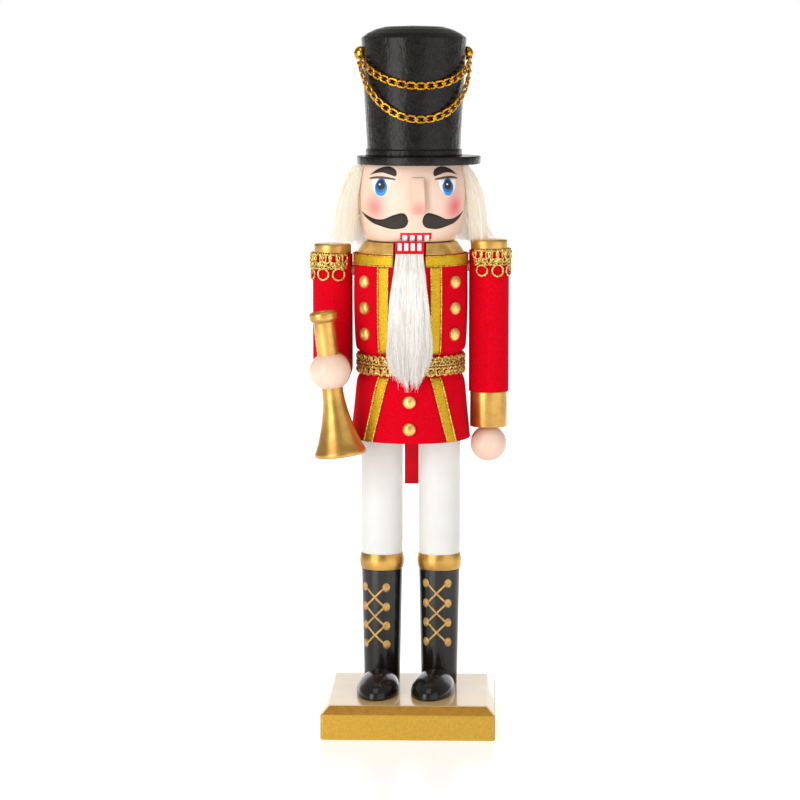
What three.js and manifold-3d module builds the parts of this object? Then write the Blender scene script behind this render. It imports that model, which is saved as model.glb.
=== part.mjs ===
// Nutcracker figure: a turned and painted wooden soldier on a square base, in a felt coat,
// with a lever-worked jaw, pegged arms, a horn, a tall hat and a swagged chain.
// Millimetres, +Z up, the figure faces -Y, origin at the middle of the base's underside.
// "Left" and "right" are the figure's own: its right hand, on the -X side, holds the horn.

import * as THREE from 'three';
import { mergeVertices } from 'three/addons/utils/BufferGeometryUtils.js';
import Module from 'manifold-3d';

// ---------- driving dimensions ----------

const glueGap = 0.15; // between pieces that are glued one inside the other
const turnedGap = 0.3; // between pieces that meet at an angle to each other
const runningGap = 0.05; // radial play of a pin or peg that turns in its hole

const base = { width: 93.5, depth: 91, height: 18, chamferAcross: 4.2, chamferDown: 4.6 };
const axisY = 17; // the upright axis of legs, body and head
const leg = { x: 15.8, dowelR: 4, dowelFoot: 8, dowelTop: 184 };
const shoe = { halfWidth: 11.7, halfLength: 24.5, halfHeight: 10.6, middleY: -7, middleZ: 19.2 };
const toeIn = { left: -7, right: -3 }; // degrees
const boot = { bottomR: 9.8, topR: 11.3, topZ: 82.9 };
const bootCuff = { endR: 11.5, middleR: 12.3, topZ: 91.6 };
const trouser = { radius: 11.5, topZ: 174 };

const torso = { bottomZ: 174, shoulderZ: 257.5, topZ: 263.5, neckR: 23.3 };
const felt = 1.6; // thickness of the coat cloth
const coat = { waistR: 28.1, chestR: 31.1, joinZ: 197, topZ: 257.3 };
const skirt = { topR: 29.6, hemR: 32.8, flareZ: 187.5, hemZ: 156 };
const belt = { bottomZ: 191.2, topZ: 203.3, radius: 29.7 };
const ribbon = { width: 6, thickness: 0.5, lift: 0.1 };
const lapelAngle = 27; // degrees from the front, as all angles round the figure
const button = { radius: 3.2, height: 2.5, chestAngle: 50.5, chestZ: [242.5, 228.3, 214.2] };
const skirtButtonZ = [178.3, 163.7];

const beyond = 60; // how far a cutting block runs, past every piece it cuts
const jaw = { width: 15.8, tailWidth: 8.8, frontY: -27.5, topZ: 263, pinY: -6, pinZ: 234, pinR: 1.5 };
const jawSlot = { halfWidth: 8.8, floorZ: 223, backY: 4, tailHalfWidth: 4.9, tailTopZ: 249.5 };
const coatSlotFloorZ = 239;

const headTurn = 9; // the head and hat look slightly to the figure's left
const head = { bottomZ: 263.5, topZ: 305.5 };
const neckDowel = { y: 15, radius: 4, bottomZ: 251, topZ: 276 };
const nose = { width: 6.9, topZ: 299.6, bottomZ: 279.5, reach: 34.8 };
const brim = { radius: 33.7, topZ: 310, x: 4, y: -3 };
const crown = { bottomR: 25.3, rimR: 28.5, rimZ: 373, topZ: 380, bandR: 26.3, bandZ: 313.4, x: 1.6 };
const hatDowel = { radius: 5, bottomZ: 296, topZ: 325 };
const chain = { width: 3.6, standOff: 2.4, steps: 40 };
const knob = { radius: 3.9, height: 4.2, stemR: 1.1, stemDepth: 4, z: 365 };

const arm = { x: 42.7, sleeveR: 10.9, coreR: 9.1, tenonR: 4, capR: 10.2, capBottom: 8.7, capTop: 14.5 };
const leftShoulderZ = 250;
const rightShoulderZ = 247.6;
const peg = { radius: 3, inner: 22, outer: 42 };
const epaulette = { outerR: 12.4, bottom: -8, top: 8, flatX: 32.5 };
const cuffR = 10.15;
const leftArm = { sleeveEnd: -68.5, cuffEnd: -88, handMiddle: -97.4, handR: 10, tenonEnd: -96 };
const rightArm = { elbow: -52.6, sleeveY: -13.5, cuffY: -20.2 };
const hornHand = { y: -30, radius: 11.2, halfHeight: 10.4 };
const horn = { tilt: 7, pipeR: 5.75, tenonR: 3, tenonLength: 8, joint: -9 };
const mouthpiece = { radius: 7.5, bottom: 27.5, top: 32.6 };
const bell = { radius: 14.2, end: -46 };

const roundSides = 36;
const armSides = 24;
const dowelSides = 16;
const pegSides = 24;

// ---------- materials ----------

const paint = (color, roughness, metalness = 0) =>
  new THREE.MeshStandardMaterial({ color, roughness, metalness });

const finish = {
  gold: () => paint(0xd2a03c, 0.4, 0.6),
  black: () => paint(0x17130f, 0.15),
  white: () => paint(0xf1efea, 0.45),
  skin: () => paint(0xf8dcc8, 0.4),
  red: () => paint(0xd0101c, 0.35),
  felt: () => paint(0xd8041a, 0.95),
  ribbon: () => paint(0xc79a14, 0.5, 0.5),
  braid: () => paint(0xbe963c, 0.45, 0.6),
  wood: () => paint(0xd8b98a, 0.7),
  fur: () => paint(0xf2ead8, 0.9),
  steel: () => paint(0x9a9a9c, 0.35, 0.9),
};

// ---------- solids ----------

const wasm = await Module();
wasm.setup();

// A closed manifold solid from any closed three.js geometry.
function solid(geometry) {
  const plain = geometry.clone();
  plain.deleteAttribute('normal');
  plain.deleteAttribute('uv');
  const merged = mergeVertices(plain, 1e-4);
  const points = merged.attributes.position.array;
  const index = [];
  for (let i = 0; i < merged.index.count; i += 3) {
    const [a, b, c] = merged.index.array.slice(i, i + 3);
    if (a !== b && b !== c && c !== a) {
      index.push(a, b, c);
    }
  }
  if (signedVolume(points, index) < 0) {
    index.reverse();
  }
  return new wasm.Manifold(new wasm.Mesh({
    numProp: 3,
    vertProperties: new Float32Array(points),
    triVerts: new Uint32Array(index),
  }));
}

function signedVolume(points, index) {
  const corner = (i) => new THREE.Vector3().fromArray(points, 3 * i);
  let total = 0;
  for (let i = 0; i < index.length; i += 3) {
    const [a, b, c] = [corner(index[i]), corner(index[i + 1]), corner(index[i + 2])];
    total += a.dot(b.cross(c)) / 6;
  }
  return total;
}

function geometryOf(manifold) {
  const mesh = manifold.getMesh();
  const geometry = new THREE.BufferGeometry();
  geometry.setAttribute('position', new THREE.BufferAttribute(mesh.vertProperties, mesh.numProp));
  geometry.setIndex(new THREE.BufferAttribute(mesh.triVerts, 1));
  return geometry;
}

// A turned piece about +Z, from [radius, z] points that start and end on the axis or close.
function turned(outline, sides = roundSides) {
  const points = outline.map(([r, z]) => new THREE.Vector2(r, z));
  return solid(new THREE.LatheGeometry(points, sides).rotateX(Math.PI / 2));
}

// A turned ring, its outline closed on itself.
const ring = (outline, sides) => turned([...outline, outline[0]], sides);

const rod = (radius, bottomZ, topZ, sides = dowelSides) =>
  turned([[0, bottomZ], [radius, bottomZ], [radius, topZ], [0, topZ]], sides);

// A rod along +X from x0 to x1.
const crossRod = (radius, x0, x1, sides = dowelSides) =>
  rod(radius, x0, x1, sides).rotate([0, 90, 0]);

// A rod along Y from the lower y0 to the higher y1.
const depthRod = (radius, y0, y1, sides) => rod(radius, -y1, -y0, sides).rotate([90, 0, 0]);

function block([x0, y0, z0], [x1, y1, z1]) {
  const box = new THREE.BoxGeometry(x1 - x0, y1 - y0, z1 - z0);
  return solid(box.translate((x0 + x1) / 2, (y0 + y1) / 2, (z0 + z1) / 2));
}

// A plate of the given width across X, cut to a side outline of [y, z] points.
function sidePlate(outline, width) {
  const shape = new THREE.Shape(outline.map(([y, z]) => new THREE.Vector2(y, z)));
  const plate = new THREE.ExtrudeGeometry(shape, { depth: width, bevelEnabled: false, curveSegments: 6 });
  plate.translate(0, 0, -width / 2);
  // (y, z, x) to (x, y, z)
  const toPlace = new THREE.Matrix4().makeBasis(
    new THREE.Vector3(0, 1, 0), new THREE.Vector3(0, 0, 1), new THREE.Vector3(1, 0, 0));
  return solid(plate.applyMatrix4(toPlace));
}

function ball(radius, halfHeight = radius, sides = armSides) {
  const sphere = new THREE.SphereGeometry(radius, sides, sides / 2);
  return solid(sphere.rotateX(Math.PI / 2).scale(1, 1, halfHeight / radius));
}

// The place on a circle round the figure, at an angle in degrees from the front towards +X.
function around(radius, degrees) {
  const turn = THREE.MathUtils.degToRad(degrees);
  return [radius * Math.sin(turn), -radius * Math.cos(turn)];
}

// ---------- scene graph ----------

const figure = new THREE.Group();

const upright = new THREE.Group();
upright.position.y = axisY;
figure.add(upright);

const headGroup = new THREE.Group();
headGroup.rotation.z = THREE.MathUtils.degToRad(headTurn);
upright.add(headGroup);

function add(parent, name, piece, material) {
  const mesh = new THREE.Mesh(geometryOf(piece), material);
  mesh.name = name;
  parent.add(mesh);
  return mesh;
}

// ---------- base and legs ----------

function baseBlock() {
  const { width, depth, height, chamferAcross, chamferDown } = base;
  const top = 1 - (2 * chamferAcross) / width;
  const outline = [[0, 0], [1, 0], [1, height - chamferDown], [top, height], [0, height]];
  const points = outline.map(([r, z]) => new THREE.Vector2(r * Math.SQRT1_2, z));
  const frustum = new THREE.LatheGeometry(points, 4).rotateX(Math.PI / 2).rotateZ(Math.PI / 4);
  let piece = solid(frustum.scale(width, depth, 1));
  for (const sign of [-1, 1]) {
    const hole = rod(leg.dowelR + glueGap, leg.dowelFoot - glueGap, height + 1);
    piece = piece.subtract(hole.translate([sign * leg.x, axisY, 0]));
  }
  return piece;
}

function shoePiece(side) {
  const { halfWidth, halfLength, halfHeight, middleY, middleZ } = shoe;
  const egg = new THREE.SphereGeometry(1, 28, 14).rotateX(Math.PI / 2);
  const body = solid(egg.scale(halfWidth, halfLength, halfHeight)).translate([0, middleY - axisY, middleZ]);
  const ground = block([-beyond, -beyond, 0], [beyond, beyond, base.height]);
  const shaftRoom = rod(boot.topR - 0.9, 0, beyond, armSides);
  return body.rotate([0, 0, toeIn[side]]).subtract(ground).subtract(shaftRoom);
}

function legPieces(parent, side) {
  const bore = leg.dowelR + glueGap;
  const { bottomR, topR, topZ } = boot;
  add(parent, `${side}_shoe`, shoePiece(side), finish.black());
  const shaft = ring([[bore, base.height], [bottomR, base.height], [topR, topZ], [bore, topZ]], armSides);
  add(parent, `${side}_boot_shaft`, shaft, finish.black());

  const cuffOutline = [[bore, topZ]];
  const cuffSteps = 6;
  for (let i = 0; i <= cuffSteps; i += 1) {
    const swell = Math.sin((Math.PI * i) / cuffSteps);
    const r = bootCuff.endR + (bootCuff.middleR - bootCuff.endR) * swell;
    cuffOutline.push([r, topZ + ((bootCuff.topZ - topZ) * i) / cuffSteps]);
  }
  cuffOutline.push([bore, bootCuff.topZ]);
  add(parent, `${side}_boot_cuff`, ring(cuffOutline, armSides), finish.gold());

  const { radius } = trouser;
  const tube = ring([[bore, bootCuff.topZ], [radius, bootCuff.topZ], [radius, trouser.topZ],
    [bore, trouser.topZ]], armSides);
  add(parent, `${side}_trouser_leg`, tube, finish.white());
  add(parent, `${side}_leg_dowel`, rod(leg.dowelR, leg.dowelFoot, leg.dowelTop), finish.wood());
}

add(figure, 'base_block', baseBlock(), finish.gold());
for (const [side, sign] of [['left', 1], ['right', -1]]) {
  const legGroup = new THREE.Group();
  legGroup.position.x = sign * leg.x;
  upright.add(legGroup);
  legPieces(legGroup, side);
}

// ---------- torso, coat and trimmings ----------

// Outer radius of the coat's cloth, above the waist and below it.
const coatOutline = [[coat.waistR, coat.joinZ], [coat.waistR, 203.5], [30.3, 207.5], [coat.chestR, 230],
  [30.9, 250], [30.6, coat.topZ]];
const skirtOutline = [[coat.waistR, coat.joinZ], [coat.waistR, 191.2], [skirt.topR, skirt.flareZ],
  [skirt.hemR, skirt.hemZ]];

function radiusAt(outline, z) {
  for (let i = 1; i < outline.length; i += 1) {
    const [r0, z0] = outline[i - 1];
    const [r1, z1] = outline[i];
    const along = (z - z0) / (z1 - z0);
    if (along >= 0 && along <= 1) {
      return r0 + (r1 - r0) * along;
    }
  }
  return outline[outline.length - 1][0];
}

// A shell between two offsets of a cloth outline.
function clothShell(outline, innerOffset, outerOffset) {
  const outer = outline.map(([r, z]) => [r + outerOffset, z]);
  const inner = outline.map(([r, z]) => [r + innerOffset, z]).reverse();
  return ring([...outer, ...inner]);
}

const jawFrontRoom = block([-jawSlot.halfWidth, -beyond, jawSlot.floorZ],
  [jawSlot.halfWidth, jawSlot.backY, torso.topZ + 1]);
const leverRoom = block([-jawSlot.tailHalfWidth, 0, jawSlot.floorZ],
  [jawSlot.tailHalfWidth, beyond, jawSlot.tailTopZ]);

const shoulders = [['left', 1, leftShoulderZ], ['right', -1, rightShoulderZ]];

function crossHoles(radius, inner) {
  const holes = shoulders.map(([, sign, z]) => {
    const hole = crossRod(radius, inner, beyond, pegSides);
    return (sign > 0 ? hole : hole.mirror([1, 0, 0])).translate([0, 0, z]);
  });
  return holes[0].add(holes[1]);
}

function torsoBlock() {
  const clear = felt + 0.2;
  const side = [...coatOutline].reverse().concat(skirtOutline.slice(1, 3));
  const outline = [[0, torso.topZ], [torso.neckR, torso.topZ], [torso.neckR, torso.shoulderZ]];
  outline.push([28.8, torso.shoulderZ]);
  for (const [r, z] of side.slice(1)) {
    outline.push([r - clear, z]);
  }
  outline.push([28, torso.bottomZ], [0, torso.bottomZ]);
  let piece = turned(outline);
  piece = piece.subtract(jawFrontRoom).subtract(leverRoom);
  piece = piece.subtract(crossHoles(peg.radius + runningGap, peg.inner - 1));
  const pinHole = crossRod(jaw.pinR + 0.02, -26.3, 26.3);
  piece = piece.subtract(pinHole.translate([0, jaw.pinY, jaw.pinZ]));
  for (const sign of [-1, 1]) {
    const legHole = rod(leg.dowelR + glueGap, torso.bottomZ - 1, leg.dowelTop + glueGap);
    piece = piece.subtract(legHole.translate([sign * leg.x, 0, 0]));
  }
  const neckHole = rod(neckDowel.radius + glueGap, neckDowel.bottomZ - glueGap, 270);
  return piece.subtract(neckHole.translate([0, neckDowel.y, 0]));
}

function coatBody() {
  const slotHalf = jawSlot.halfWidth;
  const frontSlot = block([-slotHalf, -beyond, coatSlotFloorZ], [slotHalf, 0, torso.topZ]);
  let piece = clothShell(coatOutline, -felt, 0);
  piece = piece.subtract(frontSlot).subtract(leverRoom);
  return piece.subtract(crossHoles(peg.radius + 1, 20));
}

function collarRing() {
  const inner = torso.neckR + glueGap;
  const { shoulderZ, topZ } = torso;
  return ring([[inner, shoulderZ], [29.3, shoulderZ], [25.1, topZ], [inner, topZ]]).subtract(jawFrontRoom);
}

function beltBraid() {
  const inner = coat.waistR + ribbon.lift;
  const { bottomZ, topZ, radius } = belt;
  const middle = (bottomZ + topZ) / 2;
  const edge = radius - 0.5;
  return ring([[inner, bottomZ], [edge, bottomZ], [radius, bottomZ + 1.5], [radius, middle - 1],
    [edge, middle], [radius, middle + 1], [radius, topZ - 1.5], [edge, topZ], [inner, topZ]]);
}

function collarRibbon() {
  const top = coat.topZ - ribbon.lift;
  const bottom = top - ribbon.width;
  const inner = coat.chestR - ribbon.lift;
  const outer = inner + ribbon.thickness;
  const band = ring([[inner, bottom], [outer, bottom], [outer, top], [inner, top]]);
  return band.subtract(jawFrontRoom).subtract(crossHoles(peg.radius + 0.3, 20));
}

// An upright or leaning strip of ribbon that follows the cloth on one side of the front.
function frontRibbon(outline, lowZ, highZ, lowAngle, highAngle) {
  const shell = clothShell(outline, ribbon.lift, ribbon.lift + ribbon.thickness);
  const [lowX] = around(radiusAt(outline, lowZ), lowAngle);
  const [highX] = around(radiusAt(outline, highZ), highAngle);
  const half = ribbon.width / 2;
  const shape = new THREE.Shape([
    new THREE.Vector2(lowX - half, lowZ), new THREE.Vector2(lowX + half, lowZ),
    new THREE.Vector2(highX + half, highZ), new THREE.Vector2(highX - half, highZ),
  ]);
  const plate = new THREE.ExtrudeGeometry(shape, { depth: 40, bevelEnabled: false });
  return shell.intersect(solid(plate.rotateX(Math.PI / 2)));
}

const dome = turned([[0, 0], [button.radius, 0], [3.05, 0.9], [2.3, 1.9], [0, button.height]], 12);

function chestButton(angle, z) {
  const [x, y] = around(radiusAt(coatOutline, z) + 0.2, angle);
  return dome.rotate([90, 0, 0]).rotate([0, 0, angle]).translate([x, y, z]);
}

function skirtButton(z) {
  const lean = 5.5;
  const y = -radiusAt(skirtOutline, z) - 0.35;
  return dome.rotate([90 - lean, 0, 0]).translate([0, y, z]);
}

add(upright, 'torso_block', torsoBlock(), finish.wood());
add(upright, 'gold_collar', collarRing(), finish.gold());
add(upright, 'coat_body', coatBody(), finish.felt());
add(upright, 'coat_skirt', clothShell(skirtOutline, -felt, 0), finish.felt());
add(upright, 'belt_braid', beltBraid(), finish.braid());
add(upright, 'collar_ribbon', collarRibbon(), finish.ribbon());
for (const [side, sign] of [['left', 1], ['right', -1]]) {
  const lapel = frontRibbon(coatOutline, 203.7, 251, lapelAngle, lapelAngle);
  const hem = frontRibbon(skirtOutline, skirt.hemZ + 0.3, 191, 43, 29);
  for (const [name, strip] of [['lapel_ribbon', lapel], ['skirt_ribbon', hem]]) {
    add(upright, `${side}_${name}`, sign > 0 ? strip : strip.mirror([1, 0, 0]), finish.ribbon());
  }
  button.chestZ.forEach((z, row) => {
    const stud = chestButton(sign * button.chestAngle, z);
    add(upright, `${side}_chest_button_${row + 1}`, stud, finish.gold());
  });
}
skirtButtonZ.forEach((z, row) => {
  add(upright, `skirt_button_${row + 1}`, skirtButton(z), finish.gold());
});

// ---------- jaw lever and beard ----------

const pinRoom = crossRod(jaw.pinR + runningGap, -20, 20).translate([0, jaw.pinY, jaw.pinZ]);

function jawLever() {
  const mouth = [[jaw.frontY, 247], [jaw.frontY, jaw.topZ], [-8, jaw.topZ], [-3, 254], [0.5, 246],
    [0.5, 224.4], [-5, 226], [-14, 230.5]];
  const lever = [[-5, 226], [0, 224], [31, 224], [34.2, 220], [35, 190], [37.2, 124], [45.2, 124],
    [43.2, 226], [40, 234], [31, 238], [4, 244], [-5, 244]];
  const front = sidePlate(mouth, jaw.width);
  const tail = sidePlate(lever, jaw.tailWidth);
  return front.add(tail).subtract(pinRoom);
}

// A closed solid through level rings of points, lowest ring first, each ring as long as the others.
function loft(rings) {
  const count = rings[0].length;
  const points = rings.flat(2);
  const index = [];
  for (let level = 1; level < rings.length; level += 1) {
    for (let i = 0; i < count; i += 1) {
      const a = (level - 1) * count + i;
      const b = (level - 1) * count + ((i + 1) % count);
      index.push(a, b, b + count, a, b + count, a + count);
    }
  }
  const top = (rings.length - 1) * count;
  for (let i = 1; i < count - 1; i += 1) {
    index.push(0, i + 1, i, top, top + i, top + i + 1);
  }
  const geometry = new THREE.BufferGeometry();
  geometry.setAttribute('position', new THREE.Float32BufferAttribute(points, 3));
  geometry.setIndex(index);
  return solid(geometry);
}

// The beard: [z, half width, back y, front y] from its tip to the jaw.
function beardPiece() {
  const levels = [[184, 4, -32.6, -34.6], [190, 9, -32, -37], [205, 13.2, -31.9, -39],
    [225, 12, -31.9, -39.5], [242, 9.5, -31.9, -38.5], [248, 8.6, -28.2, -37], [257, 8, -27.8, -33.5]];
  const sides = 16;
  return loft(levels.map(([z, half, back, front]) => {
    const section = [];
    for (let i = 0; i < sides; i += 1) {
      const turn = (2 * Math.PI * i) / sides;
      const deep = (front + back) / 2 + ((back - front) / 2) * Math.sin(turn);
      section.push([half * Math.cos(turn), deep, z]);
    }
    return section;
  }));
}

add(upright, 'jaw_lever', jawLever(), finish.red());
const jawPin = crossRod(jaw.pinR, -26, 26).translate([0, jaw.pinY, jaw.pinZ]);
add(upright, 'jaw_pin', jawPin, finish.steel());
add(upright, 'beard', beardPiece(), finish.fur());

// ---------- head, hat and chain ----------

const headOutline = [[0, head.bottomZ], [20, head.bottomZ], [23.6, 264.3], [25.6, 266.2], [27.2, 270],
  [28.9, 278], [29.9, 288], [29.3, 297], [27.9, 304], [27.4, head.topZ], [0, head.topZ]];

function headBlock() {
  const turn = THREE.MathUtils.degToRad(headTurn);
  const dowelX = neckDowel.y * Math.sin(turn);
  const dowelY = neckDowel.y * Math.cos(turn);
  const neckHole = rod(neckDowel.radius + turnedGap, 260, neckDowel.topZ + turnedGap);
  const hatHole = rod(hatDowel.radius + glueGap, hatDowel.bottomZ - glueGap, 320);
  const piece = turned(headOutline).subtract(neckHole.translate([dowelX, dowelY, 0]));
  return piece.subtract(hatHole.translate([crown.x, 0, 0]));
}

function nosePiece() {
  const { width, topZ, bottomZ, reach } = nose;
  const inside = -22;
  const wedge = sidePlate([[inside, topZ], [4.9 - reach, topZ - 1], [-reach, bottomZ + 0.6],
    [0.5 - reach, bottomZ], [inside, bottomZ]], width);
  const face = turned(headOutline.map(([r, z]) => [r > 0 ? r + 0.1 : 0, z]));
  return wedge.subtract(face);
}

function hatBrim() {
  const { radius, topZ } = brim;
  const low = head.topZ;
  const outline = [[0, low], [radius - 0.6, low], [radius, low + 1], [radius, topZ - 1.2],
    [radius - 0.9, topZ], [0, topZ]];
  const hole = rod(hatDowel.radius + glueGap, 300, 320).translate([crown.x, 0, 0]);
  return turned(outline).translate([brim.x, brim.y, 0]).subtract(hole);
}

const crownRadius = (z) =>
  crown.bottomR + ((crown.rimR - crown.bottomR) * (z - brim.topZ)) / (crown.rimZ - brim.topZ);

function hatCrown() {
  const { rimR, rimZ, topZ, bandR, bandZ } = crown;
  const outline = [[0, brim.topZ], [bandR, brim.topZ], [bandR, bandZ - 0.5], [crownRadius(bandZ), bandZ],
    [rimR, rimZ], [rimR - 0.6, rimZ + 2.2], [rimR - 3.5, rimZ + 4.8], [rimR - 9, topZ - 0.3], [0, topZ]];
  let piece = turned(outline).subtract(rod(hatDowel.radius + glueGap, 300, hatDowel.topZ + glueGap));
  for (const sign of [-1, 1]) {
    const deep = crownRadius(knob.z) - knob.stemDepth - 0.2;
    const hole = crossRod(knob.stemR + 0.2, deep, beyond, 12).translate([0, 0, knob.z]);
    piece = piece.subtract(sign > 0 ? hole : hole.mirror([1, 0, 0]));
  }
  return piece;
}

// A domed tack on the crown's side, its stem in the wood.
function chainKnob() {
  const { radius, height, stemR, stemDepth, z } = knob;
  const seat = crownRadius(z + radius) + 0.1;
  const profile = [[0, 0], [radius, 0]];
  const steps = 5;
  for (let i = 1; i <= steps; i += 1) {
    const turn = (Math.PI / 2) * (i / steps);
    profile.push([i < steps ? radius * Math.cos(turn) : 0, height * Math.sin(turn)]);
  }
  const tack = turned(profile, dowelSides).rotate([0, 90, 0]).translate([seat, 0, 0]);
  return tack.add(crossRod(stemR, crownRadius(z) - stemDepth, seat + 1, 12)).translate([0, 0, z]);
}

// One swag round the front of the crown: it leaves each knob's side and sags to lowZ in front.
function chainSwag(startAngle, startZ, lowZ) {
  const points = [];
  for (let i = 0; i <= chain.steps; i += 1) {
    const share = (2 * i) / chain.steps - 1;
    const z = lowZ + (startZ - lowZ) * share * share;
    const [x, y] = around(crownRadius(z) + chain.standOff, share * startAngle);
    points.push(new THREE.Vector3(x, y, z));
  }
  const section = new THREE.Shape();
  section.absarc(0, 0, chain.width / 2, 0, 2 * Math.PI);
  const route = new THREE.CatmullRomCurve3(points);
  const options = { steps: chain.steps, extrudePath: route, curveSegments: 4 };
  return solid(new THREE.ExtrudeGeometry(section, options));
}

function hairWig() {
  const outline = [[0, 304.8], [33, 304.8], [35.6, 296], [37.8, 285], [39.4, 276], [39.8, 271], [39.2, 267],
    [36.5, 264.2], [0, 264.2]];
  const face = turned(headOutline.map(([r, z]) => {
    const nearEnd = z <= head.bottomZ ? -2 : 2;
    return [r > 0 ? r + turnedGap : 0, r === 0 || z >= head.topZ || z <= head.bottomZ ? z + nearEnd : z];
  }));
  const frontY = -6; // the fur starts behind this
  const capInner = 31.2;
  const capSweepZ = 268.4; // the shoulder caps swing below this
  let piece = turned(outline).subtract(face);
  piece = piece.subtract(block([-beyond, -beyond, 250], [beyond, frontY, 320]));
  for (const [x0, x1] of [[-beyond, -capInner], [capInner, beyond]]) {
    const capRoom = block([x0, -beyond, 250], [x1, beyond, capSweepZ]);
    piece = piece.subtract(capRoom.rotate([0, 0, -headTurn]));
  }
  return piece;
}

const neckRod = rod(neckDowel.radius, neckDowel.bottomZ, neckDowel.topZ).translate([0, neckDowel.y, 0]);
add(upright, 'neck_dowel', neckRod, finish.wood());
add(headGroup, 'head_block', headBlock(), finish.skin());
add(headGroup, 'nose', nosePiece(), finish.skin());
add(headGroup, 'hair_wig', hairWig(), finish.fur());
add(headGroup, 'hat_brim', hatBrim(), finish.black());

const crownGroup = new THREE.Group();
crownGroup.position.x = crown.x;
headGroup.add(crownGroup);
add(crownGroup, 'hat_crown', hatCrown(), finish.black());
add(crownGroup, 'hat_dowel', rod(hatDowel.radius, hatDowel.bottomZ, hatDowel.topZ), finish.wood());
add(crownGroup, 'left_chain_knob', chainKnob(), finish.gold());
add(crownGroup, 'right_chain_knob', chainKnob().mirror([1, 0, 0]), finish.gold());
add(crownGroup, 'chain_upper', chainSwag(80, 363.5, 347.6), finish.gold());
add(crownGroup, 'chain_lower', chainSwag(85, 360.5, 329.8), finish.gold());

// ---------- arms ----------

// The pieces that both arms share, in a group whose origin is on the arm's axis at its shoulder peg.
function armPieces(side, sign, shoulderZ) {
  const group = new THREE.Group();
  group.position.set(sign * arm.x, 0, shoulderZ);
  upright.add(group);
  const inward = (piece) => (sign > 0 ? piece.mirror([1, 0, 0]) : piece);
  const pegRod = crossRod(peg.radius, arm.x - peg.outer, arm.x - peg.inner, pegSides);
  add(group, `${side}_shoulder_peg`, inward(pegRod), finish.wood());

  const { capR, capBottom, capTop } = arm;
  const cap = turned([[0, capBottom], [capR - 0.4, capBottom], [capR, capBottom + 0.8], [capR, capTop - 1.6],
    [capR - 0.5, capTop - 0.6], [capR - 1.6, capTop], [0, capTop]], armSides);
  add(group, `${side}_shoulder_cap`, cap, finish.gold());

  const band = ring([[arm.sleeveR + 0.1, epaulette.bottom], [epaulette.outerR, epaulette.bottom],
    [epaulette.outerR, epaulette.top], [arm.sleeveR + 0.1, epaulette.top]], armSides);
  const bodySide = inward(block([arm.x - epaulette.flatX, -30, -30], [30, 30, 30]));
  add(group, `${side}_epaulette`, band.subtract(bodySide), finish.braid());

  const pegRoom = inward(crossRod(peg.radius + glueGap, arm.x - peg.outer - glueGap, 20, pegSides));
  return { group, pegRoom };
}

function leftArmPieces() {
  const { sleeveEnd, cuffEnd, handMiddle, handR, tenonEnd } = leftArm;
  const { group, pegRoom } = armPieces('left', 1, leftShoulderZ);
  const tenon = rod(arm.tenonR, tenonEnd, sleeveEnd + 5);
  const core = rod(arm.coreR, sleeveEnd, arm.capBottom, armSides).add(tenon);
  add(group, 'left_arm_core', core.subtract(pegRoom), finish.wood());

  const inner = arm.coreR + 0.1;
  const tube = ring([[inner, sleeveEnd], [arm.sleeveR, sleeveEnd], [arm.sleeveR, arm.capBottom],
    [inner, arm.capBottom]], armSides);
  add(group, 'left_sleeve', tube.subtract(pegRoom), finish.felt());

  const bore = arm.tenonR + glueGap;
  const cuff = ring([[bore, cuffEnd], [cuffR, cuffEnd], [cuffR, sleeveEnd], [bore, sleeveEnd]], armSides);
  add(group, 'left_cuff', cuff, finish.gold());

  const hand = ball(handR, handR).translate([0, 0, handMiddle]);
  const above = block([-20, -20, cuffEnd], [20, 20, 0]);
  const tenonRoom = rod(bore, tenonEnd - glueGap, 0);
  add(group, 'left_hand', hand.subtract(above).subtract(tenonRoom), finish.skin());
}

function rightArmPieces() {
  const { elbow, sleeveY, cuffY } = rightArm;
  const { group, pegRoom } = armPieces('right', -1, rightShoulderZ);
  const atElbow = (piece) => piece.translate([0, 0, elbow]);
  const tenonBack = 4;

  const elbowTenon = atElbow(depthRod(arm.tenonR, hornHand.y + 7, tenonBack));
  const elbowBore = atElbow(depthRod(arm.tenonR + glueGap, -beyond, tenonBack + glueGap));
  const upper = rod(arm.coreR, elbow, arm.capBottom, armSides).add(atElbow(ball(arm.coreR)));
  add(group, 'right_upper_arm', upper.subtract(pegRoom).subtract(elbowBore), finish.wood());

  const forearmFull = atElbow(depthRod(arm.coreR - 0.6, sleeveY, -2, armSides));
  const upperRoom = rod(arm.coreR + turnedGap, elbow - 30, 0, armSides);
  add(group, 'right_forearm', forearmFull.subtract(upperRoom).add(elbowTenon), finish.wood());

  const outside = rod(arm.sleeveR, elbow, arm.capBottom, armSides)
    .add(atElbow(ball(arm.sleeveR)))
    .add(atElbow(depthRod(arm.sleeveR, sleeveY, 0, armSides)));
  const inside = rod(arm.coreR + 0.1, elbow, 30, armSides)
    .add(atElbow(ball(arm.coreR + 0.1)))
    .add(atElbow(depthRod(arm.coreR - 0.5, -beyond, 0, armSides)));
  add(group, 'right_sleeve', outside.subtract(inside).subtract(pegRoom), finish.felt());

  const cuffPlug = atElbow(depthRod(cuffR, cuffY, sleeveY, armSides));
  add(group, 'right_cuff', cuffPlug.subtract(elbowBore), finish.gold());
  hornPieces(group, elbowBore);
}

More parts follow.
